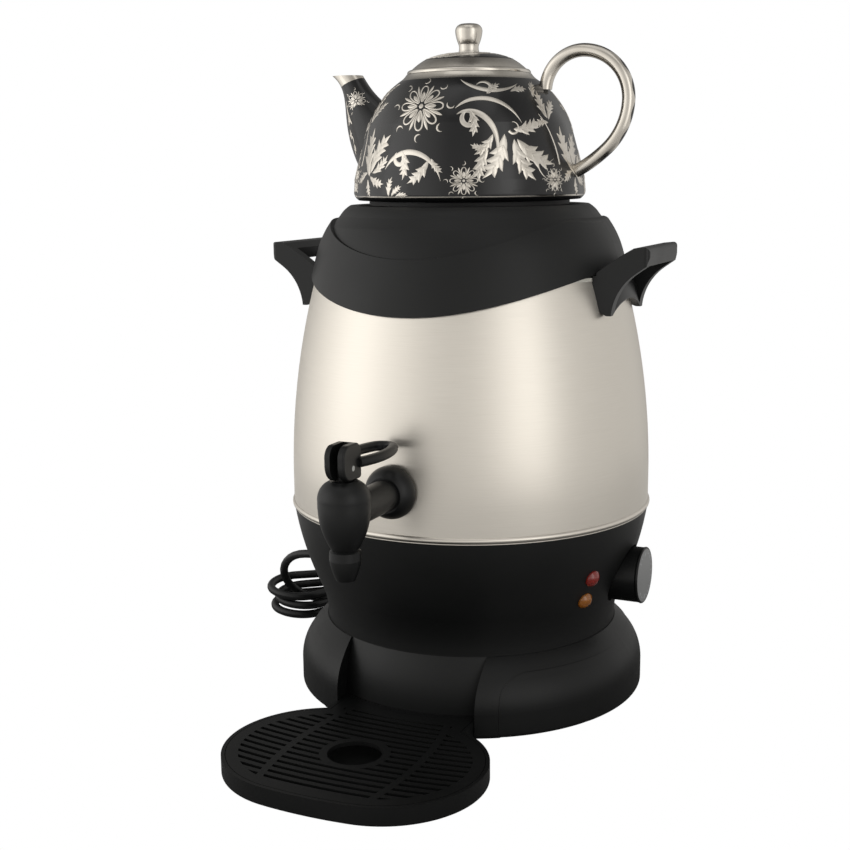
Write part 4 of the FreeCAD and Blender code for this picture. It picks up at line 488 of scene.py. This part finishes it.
def handle_silver(mat, x, y, z, reach):
    """All but a chain of black lozenges down the outer face: silver inside the loop's inner radius, and where
    y is over a half width that goes as the absolute sine of the angle round the loop."""
    loop = add(mat, "CombineXYZ", 0, {"X": x, "Y": z})
    loop = add(mat, "VectorMath", 0, {0: loop, 1: LOOP_MIDDLE}, operation="ADD")
    far = add(mat, "VectorMath", "Value", {0: loop}, operation="LENGTH")
    across, up = (add(mat, "SeparateXYZ", axis, {0: loop}) for axis in "XY")
    angle = add(mat, "Math", 0, {0: up, 1: across}, operation="ARCTAN2")
    wave = add(mat, "Math", 0, {0: angle, 1: LOZENGES}, operation="MULTIPLY")
    wave = add(mat, "Math", 0, {0: wave}, operation="SINE")
    wave = add(mat, "Math", 0, {0: wave}, operation="ABSOLUTE")
    width = add(mat, "Math", 0, {0: wave, 1: LOZENGE_HALF, 2: LOZENGE_GAP},
                operation="MULTIPLY_ADD")
    side = add(mat, "Math", 0, {0: y}, operation="ABSOLUTE")
    inside = add(mat, "Math", 0, {0: side, 1: width}, operation="GREATER_THAN")
    near = add(mat, "Math", 0, {0: far, 1: LOOP_INNER}, operation="LESS_THAN")
    return mask_of(mat, "MAXIMUM", inside, near)


def lid_silver(mat, x, y, z, reach):
    """The rim and the button; the dome between them is black."""
    ring = mask_of(mat, "MULTIPLY", above(mat, reach, DOME_BLACK[0]),
                   add(mat, "Math", 0, {0: reach, 1: DOME_BLACK[1]}, operation="LESS_THAN"))
    under = add(mat, "Math", 0, {0: z, 1: LID_UNDERSIDE}, operation="LESS_THAN")
    black = mask_of(mat, "MAXIMUM", ring, under)
    return add(mat, "Math", 0, {0: 1.0, 1: black}, operation="SUBTRACT")


dress(pot_glaze("glaze_body", body_silver), "teapot_body")
dress(pot_glaze("glaze_spout", spout_silver), "teapot_spout")
dress(pot_glaze("lustre_handle", handle_silver), "teapot_handle")
dress(pot_glaze("glaze_lid", lid_silver), "teapot_lid")

# Teapot's ornament: daisies and leaf scrolls of silver lustre, a little duller than the bands for being
# printed. Each stroke is a thin ribbon on the glaze, drawn 0.18 mm high so that its edge shows
SILVER_LIFT, EDGE_LIFT = 0.18, 0.02
RIBBON = ((1, EDGE_LIFT), (0.6, SILVER_LIFT), (0, SILVER_LIFT), (-0.6, SILVER_LIFT), (-1, EDGE_LIFT))
silver_mat, silver_shader = surface("silver_lustre", Metallic=1.0)
at = add(silver_mat, "TexCoord", "Object", {})
cloud = add(silver_mat, "TexNoise", "Fac", {"Vector": at, "Scale": 160.0, "Detail": 4.0})
tone = add(silver_mat, "Mix", 2, {0: cloud, 6: linear("C2BBB0"), 7: linear("E2DDD4")}, data_type="RGBA")
worn = add(silver_mat, "MapRange", "Result", {"Value": cloud, "From Min": 0.3, "From Max": 0.7, "To Min": 0.2,
                                              "To Max": 0.38})
wire(silver_mat, silver_shader, Base_Color=tone, Roughness=worn)


class Strokes:
    """Tapered strokes of a motif, in mm in its own plane, kept until they are laid on a surface."""

    def __init__(self):
        """Starts with no strokes."""
        self.lines = []

    def stroke(self, x, y, heading, length, bend, width, form="leaf", count=20, speed=1.0):
        """A stroke from (x, y) that turns by bend degrees. Its width goes as sin(pi t^p)^q for a leaf or a
        petal, and falls evenly for a stem. Returns its points and directions."""
        t = np.linspace(0, 1, count)
        way = np.radians(heading + bend * t ** speed)
        step = length / (count - 1)
        px = x + np.concatenate([[0.0], np.cumsum(np.cos(way[:-1]) * step)])
        py = y + np.concatenate([[0.0], np.cumsum(np.sin(way[:-1]) * step)])
        forms = {"leaf": np.sin(pi * t ** 0.8) ** 0.9, "petal": np.sin(pi * t ** 1.6) ** 0.7,
                 "stem": 1.0 - 0.8 * t}
        half = np.maximum(np.nan_to_num(forms[form]), 0.03) * width / 2
        self.lines.append((px, py, way, half))
        return px, py, np.degrees(way)

    def loop(self, x, y, heading, length, width, line):
        """A petal as an outline: a closed drop, half a cosine along and a sine across that is 0.35 as wide
        at its root."""
        t = np.linspace(0, 2 * pi, 24)
        turned = radians(heading)
        along = (1 - np.cos(t)) / 2
        across = np.sin(t) * width / 2 * (0.35 + 0.65 * along)
        px = x + along * length * cos(turned) - across * sin(turned)
        py = y + along * length * sin(turned) + across * cos(turned)
        way = np.unwrap(np.arctan2(np.gradient(py), np.gradient(px)))
        self.lines.append((px, py, way, np.full(len(t), line / 2)))

    def spot(self, x, y, radius):
        """A round spot: a stroke whose half width is the root of one less t squared."""
        t = np.linspace(-1, 1, 9)
        half = np.sqrt(np.maximum(0.0, 1 - t ** 2)) * radius + 0.01
        self.lines.append((x + t * radius, np.full_like(t, y), np.zeros_like(t), half))

    def leaf(self, x, y, heading, size, hand):
        """A lobed leaf: a stroke that turns 46 degrees to its hand, with three pairs of lobes along it."""
        px, py, way = self.stroke(x, y, heading, size, 46 * hand, size * 0.21)
        for part, reach in ((0.26, 0.34), (0.46, 0.33), (0.64, 0.26)):
            i = int(part * (len(px) - 1))
            for side in (-1, 1):
                self.stroke(px[i], py[i], way[i] + side * 20, size * reach, side * 40 + 14 * hand,
                            size * 0.12, count=12)

    def daisy(self, x, y, r, petals):
        """A flower: outlined petals, each with a filled one in it, long bars between and crooks outside."""
        for k in range(petals):
            a = 360.0 * k / petals
            b = a + 180.0 / petals
            ca, sa, cb, sb = cos(radians(a)), sin(radians(a)), cos(radians(b)), sin(radians(b))
            self.loop(x + ca * r * 0.16, y + sa * r * 0.16, a, r * 0.62, r * 0.36, r * 0.05)
            self.stroke(x + ca * r * 0.18, y + sa * r * 0.18, a, r * 0.36, 0, r * 0.13, "petal", 10)
            self.stroke(x + cb * r * 0.26, y + sb * r * 0.26, b, r * 0.58, 0, r * 0.09, "petal", 10)
            self.stroke(x + ca * r * 0.92 - sa * r * 0.1, y + sa * r * 0.92 + ca * r * 0.1, a - 110, r * 0.42,
                        190, r * 0.055, count=12)
        self.spot(x, y, r * 0.08)

    def mesh(self, name, lay, body):
        """Lays every stroke on a surface by lay(x, y, lift), five points across, as one object."""
        verts, faces, start = [], [], 0
        for px, py, way, half in self.lines:
            n = len(px)
            for across, lift in RIBBON:
                verts.append(lay(px - np.sin(way) * half * across, py + np.cos(way) * half * across, lift))
            k = (np.arange(4)[:, None] * n + np.arange(n - 1)[None, :]).ravel() + start
            faces.append(np.stack([k, k + n, k + n + 1, k + 1], 1))
            start += 5 * n
        data = bpy.data.meshes.new(name)
        data.from_pydata(np.concatenate(verts).tolist(), [], np.concatenate(faces).tolist())
        data.polygons.foreach_set("use_smooth", [True] * len(data.polygons))
        data.materials.append(silver_mat)
        made = bpy.data.objects.new(name, data)
        scene.collection.objects.link(made)
        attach(made, body)
        return made


def arc_through(p, via, q, count):
    """Points along the circle through three 2-D points, without the first. Its centre is as far from each."""
    (ax, ay), (bx, by), (cx, cy) = p, via, q
    d = 2 * (ax * (by - cy) + bx * (cy - ay) + cx * (ay - by))
    aa, bb, cc = ax * ax + ay * ay, bx * bx + by * by, cx * cx + cy * cy
    ux = (aa * (by - cy) + bb * (cy - ay) + cc * (ay - by)) / d
    uy = (aa * (cx - bx) + bb * (ax - cx) + cc * (bx - ax)) / d
    a0, a1, a2 = (atan2(y - uy, x - ux) for x, y in (p, via, q))
    sweep = (a2 - a0) % (2 * pi)
    if (a1 - a0) % (2 * pi) > sweep:
        sweep -= 2 * pi
    radius = hypot(ax - ux, ay - uy)
    return [(ux + radius * cos(a0 + sweep * k / count), uy + radius * sin(a0 + sweep * k / count))
            for k in range(1, count + 1)]


def turned_layer(profile, round_radius, middle, low, high, draw_in):
    """A function that lays motif points on a turned form: x goes round from the angle middle, in mm at
    round_radius, y goes along the profile between low and high. draw_in narrows the motif where the form
    does."""
    r = np.array([p[0] for p in profile])
    z = np.array([p[1] for p in profile]) + POT_Z
    s = np.concatenate([[0.0], np.cumsum(np.hypot(np.diff(r), np.diff(z)))])

    def lay(x, y, lift):
        """The place on the form in metres, moved out by lift along the profile's normal."""
        along = np.clip(y, low, high)
        rr, zz = np.interp(along, s, r), np.interp(along, s, z)
        dr = np.interp(along + 0.5, s, r) - np.interp(along - 0.5, s, r)
        dz = np.interp(along + 0.5, s, z) - np.interp(along - 0.5, s, z)
        size = np.hypot(dr, dz)
        angle = radians(middle) + x * (1 - draw_in + draw_in * round_radius / rr) / round_radius
        rr, zz = rr + lift * dz / size, zz - lift * dr / size
        return np.stack([rr * np.cos(angle), rr * np.sin(angle), zz], -1) * MM

    return lay


pot_side = [(69.0, 0.0)] + arc_through((69.0, 0.0), (71.0, 1.8), (71.8, 6.5), 8)
pot_side += [(71.5, 12.5)] + arc_through((71.5, 12.5), (67.9, 26.5), (62.8, 45.0), 24)
pot_side += arc_through((62.8, 45.0), (56.4, 57.5), (41.4, 72.3), 24)
pot_third = Strokes()
pot_third.daisy(-26, 58, 19.5, 8)
pot_third.daisy(3, 13, 10.0, 8)
pot_third.daisy(60, 13, 8.5, 8)
for x, y, heading, length, bend, width, form, count, speed in (
        (-1, 78, -42, 46, 78, 3.2, "leaf", 30, 1.0), (18, 66, 40, 20, 210, 2.4, "leaf", 24, 1.0),
        (-3, 56, 48, 50, -112, 3.0, "leaf", 30, 0.8), (30, 42, -50, 15, 250, 1.8, "stem", 18, 1.0),
        (-2, 52, 38, 46, -150, 3.6, "leaf", 30, 0.7), (4, 54, -150, 20, 250, 3.0, "leaf", 24, 1.0),
        (42, 26, -35, 20, 70, 1.3, "stem", 20, 1.0), (48, 22, -80, 12, 60, 1.1, "stem", 20, 1.0),
        (-48, 20, 62, 50, -142, 3.2, "leaf", 30, 0.9), (-40, 30, -128, 18, 245, 2.8, "leaf", 24, 1.0),
        (66, 22, 95, 34, 40, 1.3, "stem", 20, 1.0)):
    pot_third.stroke(x, y, heading, length, bend, width, form, count, speed)
for x, y, heading, size, hand in (
        (17, 66, 62, 13, -1), (34, 68, 30, 14, -1), (6, 55, -62, 17, -1), (20, 40, -112, 17, -1),
        (17, 31, -128, 20, 1), (17, 32, 190, 11, -1), (27, 40, -96, 30, -1), (33, 37, -84, 28, 1),
        (35, 37, -52, 30, 1), (33, 43, -6, 21, 1), (-62, 18, 78, 28, -1), (-63, 16, 118, 30, -1),
        (-60, 18, 18, 17, 1), (-62, 16, -40, 15, 1), (-64, 14, -98, 11, 1), (-66, 18, 190, 13, 1),
        (-36, 31, -62, 18, -1), (-18, 25, -112, 19, -1), (-16, 26, -72, 11, 1), (-44, 4, 100, 12, -1),
        (-42, 4, 60, 10, -1), (-39, 4, 25, 9, -1), (60, 50, 120, 20, -1), (61, 49, 72, 17, -1),
        (60, 47, 168, 13, 1), (52, 64, 88, 15, -1)):
    pot_third.leaf(x, y, heading, size, hand)
for number, middle in enumerate((-72.0, 48.0, 168.0)):
    layer = turned_layer(pot_side, 68.0, middle, 3.0, 82.0, 0.45)
    pot_third.mesh(f"pot_ornament_{number + 1}", layer, "teapot")

# Lid's ornament: leaves and stems of the same printed lustre, seven times round the black part of the dome
LID_LEAVES, LID_PITCH = 7, 17.05
lid_dome = arc_through((36.0, 77.9), (32.6, 80.7), (27.5, 84.1), 10)
lid_dome += arc_through((27.5, 84.1), (19.0, 86.9), (6.6, 88.5), 20)
lid_ring = Strokes()
for k in range(LID_LEAVES):
    lid_ring.leaf(k * LID_PITCH, 10.5, 66, 10.0, 1)
    lid_ring.stroke(k * LID_PITCH + 6.5, 10.0, 60, 15.0, 60, 1.5, "leaf", 16)
    lid_ring.stroke(k * LID_PITCH + 11.0, 10.0, 90, 6.0, -70, 0.9, "leaf", 12)
lid_ring.mesh("lid_ornament", turned_layer(lid_dome, 19.0, 0.0, 0.5, 28.0, 0.8), "pot_lid")


def wrapped(made, target, lift):
    """Moves a finished ribbon object onto a CAD node's surface, raised by lift in mm."""
    made.modifiers.new("wrap", "SHRINKWRAP")
    made.modifiers["wrap"].target = target
    made.modifiers["wrap"].wrap_mode = "ABOVE_SURFACE"
    made.modifiers["wrap"].offset = lift * MM
    bpy.context.view_layer.update()
    settled = bpy.data.meshes.new_from_object(made.evaluated_get(bpy.context.evaluated_depsgraph_get()))
    made.modifiers.clear()
    made.data = settled


# Spout's ornament: a small daisy by the pot and two leaf scrolls down the front, of the same printed lustre
# on both flanks. It is drawn flat, this far to the side in mm, and then wrapped on the spout
SPOUT_SIDE = 9.0
for number, side in enumerate((-1, 1)):
    spout = Strokes()
    spout.daisy(-73.5, 61.5, 8.0, 7)
    spout.stroke(-83.0, 62.0, -82, 20, 46, 1.5, "leaf", 24)
    spout.stroke(-82.0, 38.0, 62, 12, -190, 1.3, "leaf", 20)
    spout.leaf(-80.0, 46.0, 70, 8.0, 1)
    spout.leaf(-79.0, 44.0, -60, 7.0, -1)
    spout.leaf(-74.5, 28.0, 100, 8.0, -1)

    def lay(x, y, lift, side=side):
        """The place on an upright plane beside the spout, in metres."""
        return np.stack([x, np.full_like(x, side * SPOUT_SIDE), y + POT_Z], -1) * MM

    ribbon = spout.mesh(f"spout_ornament_{number + 1}", lay, "teapot")
    wrapped(ribbon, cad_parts["teapot_spout"], SILVER_LIFT)

# The CAD's box and the dressed urn's box, in metres
size = {"cad_box_m": cad_box, "visual_box_m": [list(corner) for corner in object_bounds()]}
